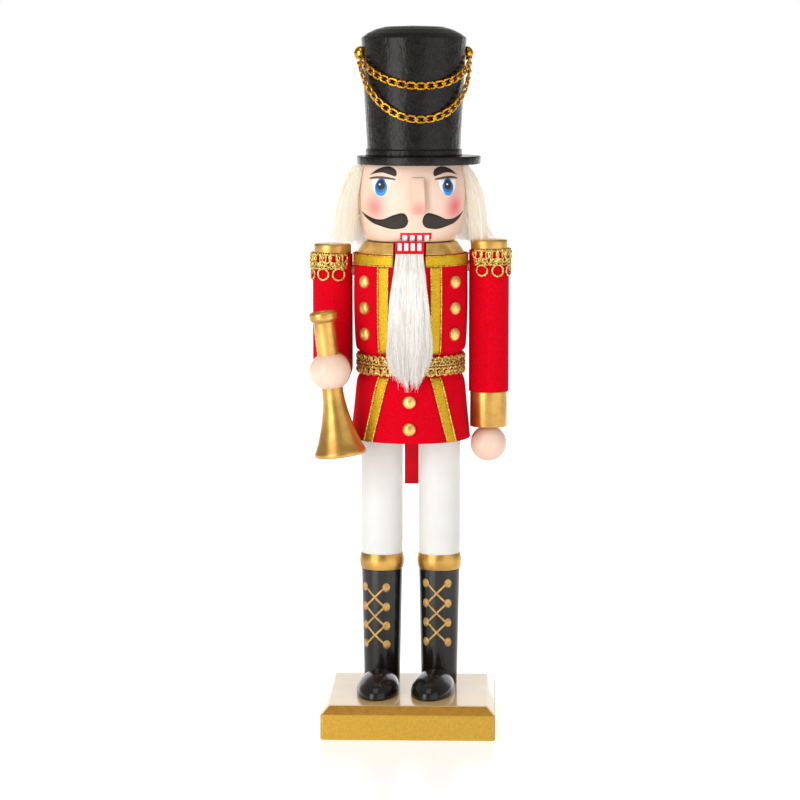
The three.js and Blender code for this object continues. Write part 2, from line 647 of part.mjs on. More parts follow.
// The fist and the horn that stands in it, in the right arm's group.
function hornPieces(group, elbowBore) {
  const { tilt, pipeR, tenonR, tenonLength, joint } = horn;
  const place = (piece) => piece.rotate([0, -tilt, 0]).translate([0, hornHand.y, rightArm.elbow]);
  const fist = ball(hornHand.radius, hornHand.halfHeight).translate([0, hornHand.y, rightArm.elbow]);
  const behind = block([-beyond, rightArm.cuffY, -beyond - 40], [beyond, beyond, beyond]);
  const pipeRoom = place(rod(pipeR + glueGap, -20, 20, armSides));
  const hand = fist.subtract(behind).subtract(elbowBore).subtract(pipeRoom);
  add(group, 'right_hand', hand, finish.skin());

  const tenonEnd = joint - tenonLength;
  const { radius, bottom, top } = mouthpiece;
  const pipe = turned([[0, tenonEnd], [tenonR, tenonEnd], [tenonR, joint], [pipeR, joint],
    [pipeR, bottom - 1], [radius - 0.6, bottom], [radius, bottom + 1], [radius, top - 1.2],
    [radius - 0.8, top], [0, top]], armSides);
  add(group, 'horn_pipe', place(pipe), finish.gold());

  const room = tenonR + glueGap;
  const roomEnd = tenonEnd - 0.4;
  const flare = ring([[room, joint], [room, roomEnd], [0.01, roomEnd], [0.01, bell.end + 0.6],
    [bell.radius - 2.4, bell.end], [bell.radius - 0.5, bell.end], [bell.radius, bell.end + 1.2],
    [bell.radius - 0.9, bell.end + 3.4], [9.6, bell.end + 14.5], [7, bell.end + 23], [pipeR - 0.1, joint]],
  armSides);
  add(group, 'horn_bell', place(flare), finish.gold());
}

leftArmPieces();
rightArmPieces();

export default figure;
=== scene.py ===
"""Looks for the nutcracker figure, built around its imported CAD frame.

Shapes are worked out in millimetres in the frame's own axes, and become metres in add_mesh.
Angles round the figure are degrees from its front (-Y), positive towards +X.
"""

import math

import bpy
import numpy as np
from mathutils import Matrix, Vector


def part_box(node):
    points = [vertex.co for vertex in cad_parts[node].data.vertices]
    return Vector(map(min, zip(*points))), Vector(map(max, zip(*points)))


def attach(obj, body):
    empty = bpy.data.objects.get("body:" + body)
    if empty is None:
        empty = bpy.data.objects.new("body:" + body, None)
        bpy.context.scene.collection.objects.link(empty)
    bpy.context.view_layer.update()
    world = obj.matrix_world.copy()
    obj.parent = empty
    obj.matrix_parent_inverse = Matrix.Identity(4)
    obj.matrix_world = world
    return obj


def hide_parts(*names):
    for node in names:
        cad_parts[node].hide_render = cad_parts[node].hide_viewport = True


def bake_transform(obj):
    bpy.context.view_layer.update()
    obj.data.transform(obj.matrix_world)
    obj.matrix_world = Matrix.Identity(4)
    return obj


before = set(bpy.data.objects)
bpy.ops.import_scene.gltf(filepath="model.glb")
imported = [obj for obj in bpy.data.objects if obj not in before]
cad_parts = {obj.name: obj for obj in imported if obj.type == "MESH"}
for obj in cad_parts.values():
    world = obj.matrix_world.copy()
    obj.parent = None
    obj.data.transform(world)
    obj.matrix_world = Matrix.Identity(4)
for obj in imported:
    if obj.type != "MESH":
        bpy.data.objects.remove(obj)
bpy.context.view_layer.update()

MM = 0.001


# ---------- places read from the frame, in millimetres ----------

def box_mm(node):
    low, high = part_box(node)
    return np.array(low) / MM, np.array(high) / MM


def middle_of(node):
    low, high = box_mm(node)
    return (low + high) / 2


AXIS = middle_of("torso_block")[:2]
NOSE_ANGLE = math.degrees(math.atan2(middle_of("nose")[0] - AXIS[0], AXIS[1] - middle_of("nose")[1]))
HEAD_LOW, HEAD_HIGH = box_mm("head_block")
CROWN_LOW, CROWN_HIGH = box_mm("hat_crown")
CROWN_MIDDLE = middle_of("hat_crown")[:2]


def around(radius, degrees, centre=AXIS):
    """The point at that radius and angle round an upright axis, as (x, y)."""
    turn = np.radians(degrees)
    return centre[0] + radius * np.sin(turn), centre[1] - radius * np.cos(turn)


# ---------- meshes ----------

def add_mesh(name, points, faces, material, smooth=True, sharp_angle=None):
    """A mesh object from points in millimetres and faces, one material or several."""
    mesh = bpy.data.meshes.new(name)
    flat = np.asarray(points, float).reshape(-1, 3) * MM
    if isinstance(faces, np.ndarray):
        count, sides = faces.shape
        mesh.vertices.add(len(flat))
        mesh.vertices.foreach_set("co", flat.ravel())
        mesh.loops.add(count * sides)
        mesh.loops.foreach_set("vertex_index", faces.ravel().astype(np.int32))
        mesh.polygons.add(count)
        mesh.polygons.foreach_set("loop_start", np.arange(0, count * sides, sides, dtype=np.int32))
        mesh.update(calc_edges=True)
    else:
        mesh.from_pydata(flat.tolist(), [], faces)
    mesh.validate()
    mesh.polygons.foreach_set("use_smooth", [smooth] * len(mesh.polygons))
    if sharp_angle is not None:
        mesh.set_sharp_from_angle(angle=math.radians(sharp_angle))
    for one in material if isinstance(material, (list, tuple)) else [material]:
        mesh.materials.append(one)
    obj = bpy.data.objects.new(name, mesh)
    bpy.context.scene.collection.objects.link(obj)
    return obj


def finish_piece(obj, body, slot, *nodes):
    """Rides its body and stands for its CAD nodes, which it hides; slot is not used."""
    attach(obj, body)
    if nodes:
        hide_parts(*nodes)
    return obj


def turned_disc(name, node, centre, ease, material, body, slot, sides=96, pieces=4):
    """A plain upright cylinder as big as its CAD node, with eased edges."""
    low, high = box_mm(node)
    radius = (high[0] - low[0]) / 2
    line = rounded([(0, low[2]), (radius, low[2]), (radius, high[2]), (0, high[2])], ease, pieces)
    finish_piece(turned(name, line, centre, material, sides), body, slot, node)


def joined_piece(name, parts, material, body, slot, *nodes):
    """One finished piece made of several (points, faces)."""
    return finish_piece(add_mesh(name, *joined(parts), material), body, slot, *nodes)


def smooth_line(points, steps):
    """A Catmull-Rom line through points, with steps pieces between each two."""
    p = np.asarray(points, float)
    padded = np.vstack([2 * p[0] - p[1], p, 2 * p[-1] - p[-2]])
    out = []
    for i in range(1, len(padded) - 2):
        a, b, c, d = padded[i - 1:i + 3]
        for t in np.arange(steps) / steps:
            out.append(0.5 * ((2 * b) + (c - a) * t + (2 * a - 5 * b + 4 * c - d) * t ** 2
                              + (3 * b - a - 3 * c + d) * t ** 3))
    out.append(p[-1])
    return np.array(out)


def rounded(outline, radius, pieces=4):
    """The outline with every corner rounded apart from its two ends."""
    p = [np.array(q, float) for q in outline]
    out = [p[0]]
    for before, corner, after in zip(p, p[1:], p[2:]):
        back = before - corner
        ahead = after - corner
        reach = min(radius, 0.45 * np.linalg.norm(back), 0.45 * np.linalg.norm(ahead))
        start = corner + back / np.linalg.norm(back) * reach
        end = corner + ahead / np.linalg.norm(ahead) * reach
        for t in np.linspace(0, 1, pieces + 1):
            out.append((1 - t) ** 2 * start + 2 * t * (1 - t) * corner + t ** 2 * end)
    out.append(p[-1])
    return [tuple(q) for q in out]


def distance_along(line):
    """How far along the line each of its points is."""
    return np.concatenate([[0], np.cumsum(np.linalg.norm(np.diff(line, axis=0), axis=1))])


def at_distance(s, length, values):
    """The values, one row per point of a line, at distances s along it."""
    return np.stack([np.interp(s, length, values[:, k]) for k in range(3)], -1)


def level_ring(radius, angles, z, centre=AXIS):
    """Points at one height and at those angles round an upright axis."""
    x, y = around(radius, angles, centre)
    return np.stack([x, y, np.full(len(angles), z)], -1)


def grid_faces(rows, columns, rows_close=False, columns_close=True):
    """Quads between rows of points; a direction that closes also joins its last to its first."""
    def pairs(count, close):
        return [(i, (i + 1) % count) for i in range(count if close else count - 1)]

    return [(i * columns + k, i * columns + m, j * columns + m, j * columns + k)
            for i, j in pairs(rows, rows_close) for k, m in pairs(columns, columns_close)]


def turned_mesh(outline, sides=96):
    """Points and faces of a piece turned about +Z from (radius, z) points; ends on the axis close it."""
    points, faces, rings = [], [], []
    turn = np.linspace(0, 2 * math.pi, sides, endpoint=False)
    for r, z in outline:
        if r < 1e-6:
            rings.append([len(points)])
            points.append((0, 0, z))
        else:
            rings.append(list(range(len(points), len(points) + sides)))
            points += [(r * math.cos(a), r * math.sin(a), z) for a in turn]
    for low, high in zip(rings, rings[1:]):
        for i in range(sides):
            j = (i + 1) % sides
            if len(low) == 1 and len(high) > 1:
                faces.append((low[0], high[j], high[i]))
            elif len(high) == 1 and len(low) > 1:
                faces.append((low[i], low[j], high[0]))
            elif len(low) > 1:
                faces.append((low[i], low[j], high[j], high[i]))
    return np.array(points), faces


def turned(name, outline, centre, material, sides=96, place=None, sharp_angle=50):
    """A turned piece standing at centre (x, y), or moved by a 4x4 place in millimetres."""
    points, faces = turned_mesh(outline, sides)
    if place is None:
        points = points + np.array([centre[0], centre[1], 0])
    else:
        points = points @ np.array(place)[:3, :3].T + np.array(place)[:3, 3]
    return add_mesh(name, points, faces, material, sharp_angle=sharp_angle)


def swept_tube(path, radius, sides=8, closed=False):
    """Points and quad faces of a round tube along a path; radius is one number or one per point."""
    p = np.asarray(path, float)
    count = len(p)
    if closed:
        tangent = np.roll(p, -1, 0) - np.roll(p, 1, 0)
    else:
        tangent = np.gradient(p, axis=0)
    tangent /= np.linalg.norm(tangent, axis=1)[:, None]
    normal = np.zeros_like(p)
    start = np.cross(tangent[0], (0, 0, 1))
    if np.linalg.norm(start) < 0.1:
        start = np.cross(tangent[0], (1, 0, 0))
    normal[0] = start / np.linalg.norm(start)
    for i in range(1, count):
        n = normal[i - 1] - tangent[i] * normal[i - 1].dot(tangent[i])
        normal[i] = n / np.linalg.norm(n)
    across = np.cross(tangent, normal)
    angles = np.linspace(0, 2 * math.pi, sides, endpoint=False)
    r = np.broadcast_to(np.asarray(radius, float), (count,))[:, None, None]
    ring = p[:, None] + r * (np.cos(angles)[None, :, None] * normal[:, None]
                             + np.sin(angles)[None, :, None] * across[:, None])
    faces = grid_faces(count, sides, closed)
    if not closed:
        faces.append(tuple(reversed(range(sides))))
        faces.append(tuple(range((count - 1) * sides, count * sides)))
    return ring.reshape(-1, 3), faces


def joined(parts):
    """Several (points, faces) as one."""
    points, faces, offset = [], [], 0
    for p, f in parts:
        points.append(np.asarray(p).reshape(-1, 3))
        faces += [tuple(i + offset for i in face) for face in f]
        offset += len(points[-1])
    return np.vstack(points), faces


def sheet_mesh(rows, thickness, closed_across=False, keep=None):
    """A sheet of even thickness through rows of points, thickened towards its inner side.
    keep says which cells (row, column) are cloth; the others are left open."""
    outer = np.asarray(rows, float)
    n_rows, n_cols, _ = outer.shape
    down = np.gradient(outer, axis=0)
    if closed_across:
        over = np.roll(outer, -1, 1) - np.roll(outer, 1, 1)
    else:
        over = np.gradient(outer, axis=1)
    normal = np.cross(over, down)
    normal /= np.linalg.norm(normal, axis=2)[:, :, None] + 1e-12
    inner = outer - normal * thickness
    points = np.vstack([outer.reshape(-1, 3), inner.reshape(-1, 3)])
    half = n_rows * n_cols
    cells = {}
    columns = n_cols if closed_across else n_cols - 1
    for i in range(n_rows - 1):
        for j in range(columns):
            if keep is None or keep(i, j):
                cells[i, j] = True
    faces = []
    for i, j in cells:
        k = (j + 1) % n_cols
        a, b, c, d = i * n_cols + j, i * n_cols + k, (i + 1) * n_cols + k, (i + 1) * n_cols + j
        faces.append((a, b, c, d))
        faces.append((half + d, half + c, half + b, half + a))
        sides = {(i - 1, j): (b, a), (i + 1, j): (d, c), (i, j - 1): (a, d), (i, j + 1): (c, b)}
        for (ni, nj), (p, q) in sides.items():
            if closed_across:
                nj %= n_cols
            if (ni, nj) not in cells:
                faces.append((p, q, half + q, half + p))
    used = sorted({i for face in faces for i in face})
    renumber = {old: new for new, old in enumerate(used)}
    return points[used], [tuple(renumber[i] for i in face) for face in faces]


# ---------- materials ----------

def material_base(name, color, roughness, **sockets):
    """A Principled material with values set on its own sockets; returns (material, nodes, links, shader)."""
    material = bpy.data.materials.new(name)
    material.use_nodes = True
    nodes, links = material.node_tree.nodes, material.node_tree.links
    shader = nodes["Principled BSDF"]
    shader.inputs["Base Color"].default_value = (*color, 1)
    shader.inputs["Roughness"].default_value = roughness
    for key, value in sockets.items():
        socket = shader.inputs[key.replace("_", " ")]
        socket.default_value = (*value, 1) if isinstance(value, tuple) else value
    return material, nodes, links, shader


def add_node(nodes, kind, **values):
    """A shader node with values set on its own sockets."""
    node = nodes.new("ShaderNode" + kind)
    for key, value in values.items():
        node.inputs[key.replace("_", " ")].default_value = value
    return node


def noise(nodes, links, scale, detail=4.0, stretch=None, roughness=0.55):
    """A noise texture in object space; stretch scales the coordinates along each axis."""
    vector = add_node(nodes, "TexCoord").outputs["Object"]
    texture = add_node(nodes, "TexNoise", Scale=scale, Detail=detail, Roughness=roughness)
    if stretch is not None:
        mapping = add_node(nodes, "Mapping", Scale=stretch)
        links.new(vector, mapping.inputs["Vector"])
        vector = mapping.outputs["Vector"]
    links.new(vector, texture.inputs["Vector"])
    return texture


def ramp(nodes, links, source, stops):
    """A colour ramp from (position, colour) stops, driven by a texture's output."""
    node = add_node(nodes, "ValToRGB")
    links.new(source, node.inputs["Fac"])
    elements = node.color_ramp.elements
    while len(elements) < len(stops):
        elements.new(0.5)
    for element, (position, color) in zip(elements, stops):
        element.position = position
        element.color = (*color, 1)
    return node


def base_color_from(nodes, links, shader, source, stops):
    """The paint's colour, through a ramp driven by a texture's output."""
    colors = ramp(nodes, links, source, stops)
    links.new(colors.outputs["Color"], shader.inputs["Base Color"])


def bump(nodes, links, shader, source, strength, distance_mm, after=None):
    """Bumps driven by a texture, on top of the bumps of an earlier node if there is one."""
    node = add_node(nodes, "Bump", Strength=strength, Distance=distance_mm * MM)
    links.new(source, node.inputs["Height"])
    if after is not None:
        links.new(after.outputs["Normal"], node.inputs["Normal"])
    links.new(node.outputs["Normal"], shader.inputs["Normal"])
    return node


def roughness_from(nodes, links, shader, source, low, high):
    """Roughness that runs from low to high with a texture's output."""
    node = add_node(nodes, "MapRange", To_Min=low, To_Max=high)
    links.new(source, node.inputs["Value"])
    links.new(node.outputs["Result"], shader.inputs["Roughness"])


def painted(name, dark, light, roughness, grain=(1, 1, 0.08), grain_scale=900, coat=0.0, metallic=0.0,
            bump_strength=0.15, drift_scale=60, depth_mm=0.12, **sockets):
    """Brushed-on paint over turned wood: slow colour drift, fine brush grain and small bumps."""
    material, nodes, links, shader = material_base(
        name, light, roughness, Metallic=metallic, Coat_Weight=coat, **sockets)
    drift = noise(nodes, links, drift_scale, 3)
    base_color_from(nodes, links, shader, drift.outputs["Fac"], [(0.3, dark), (0.62, light)])
    fine = noise(nodes, links, grain_scale, 5, grain)
    bump(nodes, links, shader, fine.outputs["Fac"], bump_strength, depth_mm)
    roughness_from(nodes, links, shader, fine.outputs["Fac"], roughness * 0.8, roughness * 1.3)
    return material


def felt_material(name, dark, light):
    """Pressed felt: matt matted fibres, a soft sheen and faint lighter flecks."""
    material, nodes, links, shader = material_base(
        name, light, 0.95, Sheen_Weight=0.06, Sheen_Roughness=0.4, Sheen_Tint=(1.0, 0.05, 0.05),
        Specular_IOR_Level=0.06)
    fibres = noise(nodes, links, 1400, 8, roughness=0.7)
    base_color_from(nodes, links, shader, fibres.outputs["Fac"], [(0.32, dark), (0.6, light)])
    lumps = noise(nodes, links, 260, 4)
    first = bump(nodes, links, shader, lumps.outputs["Fac"], 0.25, 0.5)
    bump(nodes, links, shader, fibres.outputs["Fac"], 0.5, 0.35, first)
    return material


def metal_thread(name, dark, light, roughness, scale, strength):
    """Metallic yarn: crinkled facets that catch the light one by one; each facet's colour, dark to light,
    adds painted glints and painted shade.
    """
    material, nodes, links, shader = material_base(name, light, roughness, Metallic=0.85)
    facets = add_node(nodes, "TexVoronoi", Scale=scale)
    links.new(add_node(nodes, "TexCoord").outputs["Object"], facets.inputs["Vector"])
    base_color_from(nodes, links, shader, facets.outputs["Color"], [(0.15, dark), (0.75, light)])
    bump(nodes, links, shader, facets.outputs["Distance"], strength, 0.25)
    roughness_from(nodes, links, shader, facets.outputs["Color"], roughness * 0.6, roughness * 1.5)
    return material


def skin_material():
    """Flesh paint with soft airbrushed blushes on both cheeks and the nose, and a painted shadow beside the
    nose, where the nose shades the face.
    """
    material, nodes, links, shader = material_base(
        "skin_paint", (0.9, 0.7, 0.55), 0.38, Coat_Weight=0.25, Coat_Roughness=0.2, Specular_IOR_Level=0.4)
    coords = add_node(nodes, "TexCoord")
    drift = noise(nodes, links, 70, 3)
    last = ramp(nodes, links, drift.outputs["Fac"], [(0.3, SKIN_DARK), (0.65, SKIN_LIGHT)]).outputs["Color"]
    # each blush, and the painted shadow beside the nose, mixes in with a soft edge
    for point, radius, color, weight in BLUSHES_AND_NOSE_SHADOW:
        distance = add_node(nodes, "VectorMath")
        distance.operation = "DISTANCE"
        distance.inputs[1].default_value = [c * MM for c in point]
        links.new(coords.outputs["Object"], distance.inputs[0])
        fade = add_node(nodes, "MapRange", From_Min=0, From_Max=radius * MM, To_Min=weight, To_Max=0)
        fade.interpolation_type = "SMOOTHSTEP"
        links.new(distance.outputs["Value"], fade.inputs["Value"])
        mix = add_node(nodes, "Mix")
        mix.data_type = "RGBA"
        links.new(fade.outputs["Result"], mix.inputs["Factor"])
        links.new(last, mix.inputs["A"])
        mix.inputs["B"].default_value = (*color, 1)
        last = mix.outputs["Result"]
    links.new(last, shader.inputs["Base Color"])
    fine = noise(nodes, links, 500, 4)
    bump(nodes, links, shader, fine.outputs["Fac"], 0.06, 0.1)
    return material


def fur_material(name, color, glow):
    """Pile whose hairs pass light on to each other, which a little of their own light stands for."""
    return material_base(name, color, 0.55, Sheen_Weight=0.3, Sheen_Roughness=0.5, Specular_IOR_Level=0.3,
                         Emission_Color=color, Emission_Strength=glow)[0]


def wood_material():
    """Bare beech: fine darker flecks along the grain."""
    material, nodes, links, shader = material_base("bare_wood", (0.62, 0.42, 0.24), 0.65)
    grain = noise(nodes, links, 220, 6, (1, 1, 0.06))
    stops = [(0.35, (0.42, 0.26, 0.13)), (0.6, (0.68, 0.48, 0.29))]
    base_color_from(nodes, links, shader, grain.outputs["Fac"], stops)
    bump(nodes, links, shader, grain.outputs["Fac"], 0.2, 0.1)
    return material


# ---------- the head's surface, which the paint, the blushes and the painted nose shadow follow ---

HEAD_HEIGHT = HEAD_HIGH[2] - HEAD_LOW[2]
HEAD_RADIUS = (HEAD_HIGH[0] - HEAD_LOW[0]) / 2
HEAD_SHAPE = [(0.66, 0.0), (0.79, 0.019), (0.856, 0.064), (0.91, 0.155), (0.967, 0.345), (1.0, 0.583),
              (0.98, 0.80), (0.933, 0.964), (0.918, 1.0)]
HEAD_LINE = smooth_line(HEAD_SHAPE, 8) * (HEAD_RADIUS, HEAD_HEIGHT) + (0, HEAD_LOW[2])
FACE_ANGLE = NOSE_ANGLE - 2.7  # the painted face sits a little off the nose


def head_radius(z):
    return np.interp(z, HEAD_LINE[:, 1], HEAD_LINE[:, 0])


def on_head(angle, z, lift):
    """A point on the head at an angle from the middle of the painted face."""
    x, y = around(head_radius(z) + lift, FACE_ANGLE + np.asarray(angle))
    return np.stack([x, y, np.broadcast_to(z, np.shape(x))], -1)


EYE_ANGLE = 37.6
CHEEK_ANGLE = 46
CHEEK_Z = HEAD_LOW[2] + 19.3
SKIN_DARK, SKIN_LIGHT = (0.80, 0.55, 0.415), (0.84, 0.61, 0.48)
BLUSH = (0.78, 0.13, 0.14)
NOSE_TIP = on_head(NOSE_ANGLE - FACE_ANGLE, HEAD_LOW[2] + 18.5, 4.5)
# painted shadow: a brown band down the face beside the nose, standing for the shade the nose casts
NOSE_PAINTED_SHADOW = [(on_head(NOSE_ANGLE - FACE_ANGLE + 8.4, HEAD_LOW[2] + up, 0), 4.2, (0.50, 0.28, 0.17), 0.5)
              for up in (19.5, 23, 26.5, 30, 33)]
# the cheek and nose-tip blushes are real pink paint; the nose entries before them are painted shadow
BLUSHES_AND_NOSE_SHADOW = NOSE_PAINTED_SHADOW + [
           (on_head(-CHEEK_ANGLE, CHEEK_Z, 0), 11.0, BLUSH, 0.75),
           (on_head(CHEEK_ANGLE + 3, CHEEK_Z, 0), 11.5, BLUSH, 1.0), (NOSE_TIP, 7.0, BLUSH, 0.55)]


# ---------- camera and stage ----------

# The camera: metres to the right, back from the axis and up; degrees down and round; millimetres.
CAMERA = {"right": 0.0405, "back": 1.546, "up": 0.3607, "down": 6.81, "turn": 1.72, "lens": 127.6}


def make_camera():
    """A long lens a little above the hat, looking down at the whole figure."""
    data = bpy.data.cameras.new("camera")
    data.lens = CAMERA["lens"]
    data.sensor_width = 36
    camera = bpy.data.objects.new("camera", data)
    camera.location = (CAMERA["right"], AXIS[1] * MM - CAMERA["back"], CAMERA["up"])
    camera.rotation_euler = (math.radians(90 - CAMERA["down"]), 0, math.radians(CAMERA["turn"]))
    bpy.context.scene.collection.objects.link(camera)
    bpy.context.scene.camera = camera


def make_floor():
    """A wide floor that glows more the further it is from the figure, so that it meets the backdrop."""
    material, nodes, links, shader = material_base("studio_floor", (0.88, 0.88, 0.88), 0.25,
                                                   Emission_Strength=1.0)
    distance = add_node(nodes, "VectorMath")
    distance.operation = "LENGTH"
    links.new(add_node(nodes, "TexCoord").outputs["Object"], distance.inputs[0])
    glow = add_node(nodes, "MapRange", From_Min=0.06, From_Max=0.5, To_Min=0.42, To_Max=0.9)
    glow.interpolation_type = "SMOOTHSTEP"
    links.new(distance.outputs["Value"], glow.inputs["Value"])
    links.new(glow.outputs["Result"], shader.inputs["Emission Color"])
    reach = 20000
    corners = [(-reach, -reach, 0), (reach, -reach, 0), (reach, reach, 0), (-reach, reach, 0)]
    floor = add_mesh("floor", corners, [(0, 1, 2, 3)], material, smooth=False)


def make_world():
    """The backdrop shows white; the room that lights the figure is dimmer than the backdrop."""
    world = bpy.data.worlds.new("studio")
    world.use_nodes = True
    nodes, links = world.node_tree.nodes, world.node_tree.links
    nodes["Background"].inputs["Color"].default_value = (1, 1, 1, 1)
    level = add_node(nodes, "MapRange", To_Min=0.3, To_Max=1.0)
    links.new(add_node(nodes, "LightPath").outputs["Is Camera Ray"], level.inputs["Value"])
    links.new(level.outputs["Result"], nodes["Background"].inputs["Strength"])
    bpy.context.scene.world = world


def make_softboxes():
    for name, angle, height, distance, width, tall, power in SOFTBOXES:
        data = bpy.data.lights.new(name, "AREA")
        data.shape = "RECTANGLE"
        data.size, data.size_y = width, tall
        data.energy = power
        lamp = bpy.data.objects.new(name, data)
        x, y = around(distance, angle, (0, 0))
        lamp.location = (x, y, height)
        aim = Vector((0, 0, 0.2)) - Vector(lamp.location)
        lamp.rotation_euler = aim.to_track_quat("-Z", "Y").to_euler()
        bpy.context.scene.collection.objects.link(lamp)


# Each softbox: name, angle, height, distance, width and height in metres, power in watts.
SOFTBOXES = [("softbox_left", -40, 0.6, 1.5, 0.95, 1.3, 14), ("softbox_right", 52, 0.55, 1.5, 1.7, 1.2, 5.5),
             ("softbox_top", 0, 1.7, 0.5, 1.0, 1.0, 4.5), ("softbox_back", 180, 0.32, 1.2, 1.8, 0.6, 3.0)]

bpy.context.scene.view_settings.view_transform = "Standard"
make_camera()
make_floor()
make_world()
make_softboxes()

GOLD_PAINT = painted("gold_paint", (0.42, 0.215, 0.04), (0.70, 0.41, 0.095), 0.34, coat=0.3, metallic=0.85,
                     grain_scale=600, bump_strength=0.35, Coat_Roughness=0.12)
COLLAR_GOLD = painted("collar_gold_paint", (0.52, 0.30, 0.05), (0.84, 0.56, 0.16), 0.4, coat=0.2,
                      metallic=0.7, grain_scale=400, bump_strength=0.5, drift_scale=190)
BASE_GOLD = painted("base_gold_paint", (0.56, 0.315, 0.024), (0.66, 0.39, 0.036), 0.45, (0.15, 0.15, 1.5),
                    1100, 0.15, 0.4, 0.9, 700, Coat_Roughness=0.2)
# darker gold for the front and back chamfers: painted shade, a shaded copy of the base gold
BASE_EDGE_SHADED_GOLD = painted("base_edge_painted_shade", (0.36, 0.165, 0.008), (0.46, 0.22, 0.014), 0.5, (0.15, 1, 1),
                         900, 0.0, 0.3, 0.6, 300)
# pale gold for the top and the side chamfers: painted reflection of the bright room seen at a glancing angle,
# over a real clear coat
BASE_TOP_PAINTED_REFLECTION = painted("base_top_painted_reflection", (0.86, 0.56, 0.20), (0.95, 0.65, 0.27), 0.35, (0.25, 1, 1), 500,
                        1.0, 0.1, 0.2, 40, Coat_Roughness=0.1, Coat_IOR=1.9)
BLACK_PAINT = painted("black_paint", (0.004, 0.003, 0.002), (0.009, 0.007, 0.005), 0.2, (1, 1, 0.5), 380, 0.0,
                      bump_strength=1.0, depth_mm=0.42, Specular_IOR_Level=0.22)
BOOT_PAINT = painted("boot_paint", (0.005, 0.004, 0.003), (0.012, 0.010, 0.008), 0.2, coat=0.3,
                     bump_strength=0.3, Specular_IOR_Level=0.24, Coat_Roughness=0.07)
WHITE_PAINT = painted("white_paint", (0.74, 0.738, 0.70), (0.775, 0.772, 0.735), 0.42, bump_strength=0.3,
                      drift_scale=60)
RED_PAINT = painted("red_paint", (0.66, 0.001, 0.010), (0.80, 0.002, 0.016), 0.45, Specular_IOR_Level=0.12)
FACE_BLACK = painted("face_black_paint", (0.012, 0.008, 0.006), (0.035, 0.026, 0.02), 0.45,
                     Specular_IOR_Level=0.25)
FACE_WHITE = painted("face_white_paint", (0.84, 0.82, 0.80), (0.92, 0.91, 0.90), 0.35)
FACE_RED = painted("face_red_paint", (0.62, 0.003, 0.02), (0.74, 0.008, 0.03), 0.35, Specular_IOR_Level=0.3)
LID_BROWN = painted("lid_brown_paint", (0.05, 0.028, 0.014), (0.12, 0.07, 0.035), 0.45, drift_scale=400)
FACE_BLUE = painted("face_blue_paint", (0.0, 0.07, 0.28), (0.0, 0.13, 0.42), 0.3)
FACE_LIGHT_BLUE = painted("face_light_blue_paint", (0.005, 0.19, 0.50), (0.02, 0.29, 0.66), 0.3)
LACE_GOLD = painted("lace_gold_paint", (0.40, 0.21, 0.05), (0.68, 0.42, 0.12), 0.4, metallic=0.4,
                    drift_scale=500)
FELT = felt_material("red_felt", (0.48, 0.0, 0.006), (0.74, 0.001, 0.012))
RIBBON = metal_thread("gold_ribbon", (0.42, 0.25, 0.008), (0.74, 0.48, 0.02), 0.5, 2200, 0.35)
GLITTER = metal_thread("ribbon_edge_thread", (0.34, 0.19, 0.02), (0.95, 0.68, 0.16), 0.32, 1300, 0.6)
BRAID = metal_thread("gold_braid", (0.34, 0.195, 0.02), (1.0, 0.76, 0.24), 0.28, 1300, 0.8)
# the chain's colour drifts in small blotches from dark brown to bright gold: painted shade and painted
# highlights on the links; the knobs share it
CHAIN_GOLD = painted("chain_gold", (0.26, 0.085, 0.005), (0.86, 0.44, 0.03), 0.16, metallic=1.0,
                     bump_strength=0.1, drift_scale=420)
BUTTON_GOLD = painted("button_gold", (0.60, 0.38, 0.07), (0.84, 0.60, 0.19), 0.34, metallic=0.75,
                      bump_strength=0.1)
SKIN = skin_material()
WOOD = wood_material()
STEEL = painted("steel_pin", (0.5, 0.5, 0.5), (0.62, 0.62, 0.62), 0.3, metallic=1.0)
# the warm tint is painted shade, for the pile beside the face
FUR_TINTS = [fur_material("fur_white", (0.95, 0.94, 0.92), 0.22),
             fur_material("fur_cream", (0.91, 0.88, 0.82), 0.17),
             fur_material("fur_warm_shade", (0.92, 0.80, 0.60), 0.17)]
BEARD_TINTS = [fur_material("beard_white", (0.93, 0.91, 0.87), 0.1),
               fur_material("beard_cream", (0.88, 0.82, 0.74), 0.07),
               fur_material("beard_grey", (0.66, 0.62, 0.57), 0.05)]


# ---------- chains, which hang from the two knobs of the hat ----------

CROWN_FOOT_R, CROWN_TOP_R = 25.3, 28.5
CROWN_ROLL = 7  # how far below the top the crown starts to round over


def crown_radius(z):
    """The crown's cone above its band."""
    return np.interp(z, [CROWN_LOW[2], CROWN_HIGH[2] - CROWN_ROLL], [CROWN_FOOT_R, CROWN_TOP_R])


KNOB_Z = middle_of("left_chain_knob")[2]
HEAD_TURN = 9.0
CHAIN = {"wire": 1.2, "width": 4.3, "long": 6.1, "pitch": 5.1, "stand_off": 2.4, "end_gap": 1.2}
SMALL_LINK = {"long": 3.3, "wide": 2.6, "wire": 1.0}


def swag_route(start_angle, start_z, low_z, steps=160):
    """The chain's line: a parabola in height, held off the front of the crown all the way."""
    share = np.linspace(-1, 1, steps)
    z = low_z + (start_z - low_z) * share ** 2
    x, y = around(crown_radius(z) + CHAIN["stand_off"], share * start_angle + HEAD_TURN, CROWN_MIDDLE)
    return np.stack([x, y, z], -1)


def link_mesh(long, wide, wire):
    """A rounded-oblong link in the XY plane, its long side along X."""
    half_long, half_wide = (long - wire) / 2, (wide - wire) / 2
    bend = half_wide * 0.85
    line = []
    for cx, cy, start in ((1, 1, 0), (-1, 1, 90), (-1, -1, 180), (1, -1, 270)):
        for a in np.radians(np.linspace(start, start + 90, 8)):
            line.append((cx * (half_long - bend) + bend * math.cos(a),
                         cy * (half_wide - bend) + bend * math.sin(a), 0))
    return swept_tube(line, wire / 2, 8, closed=True)


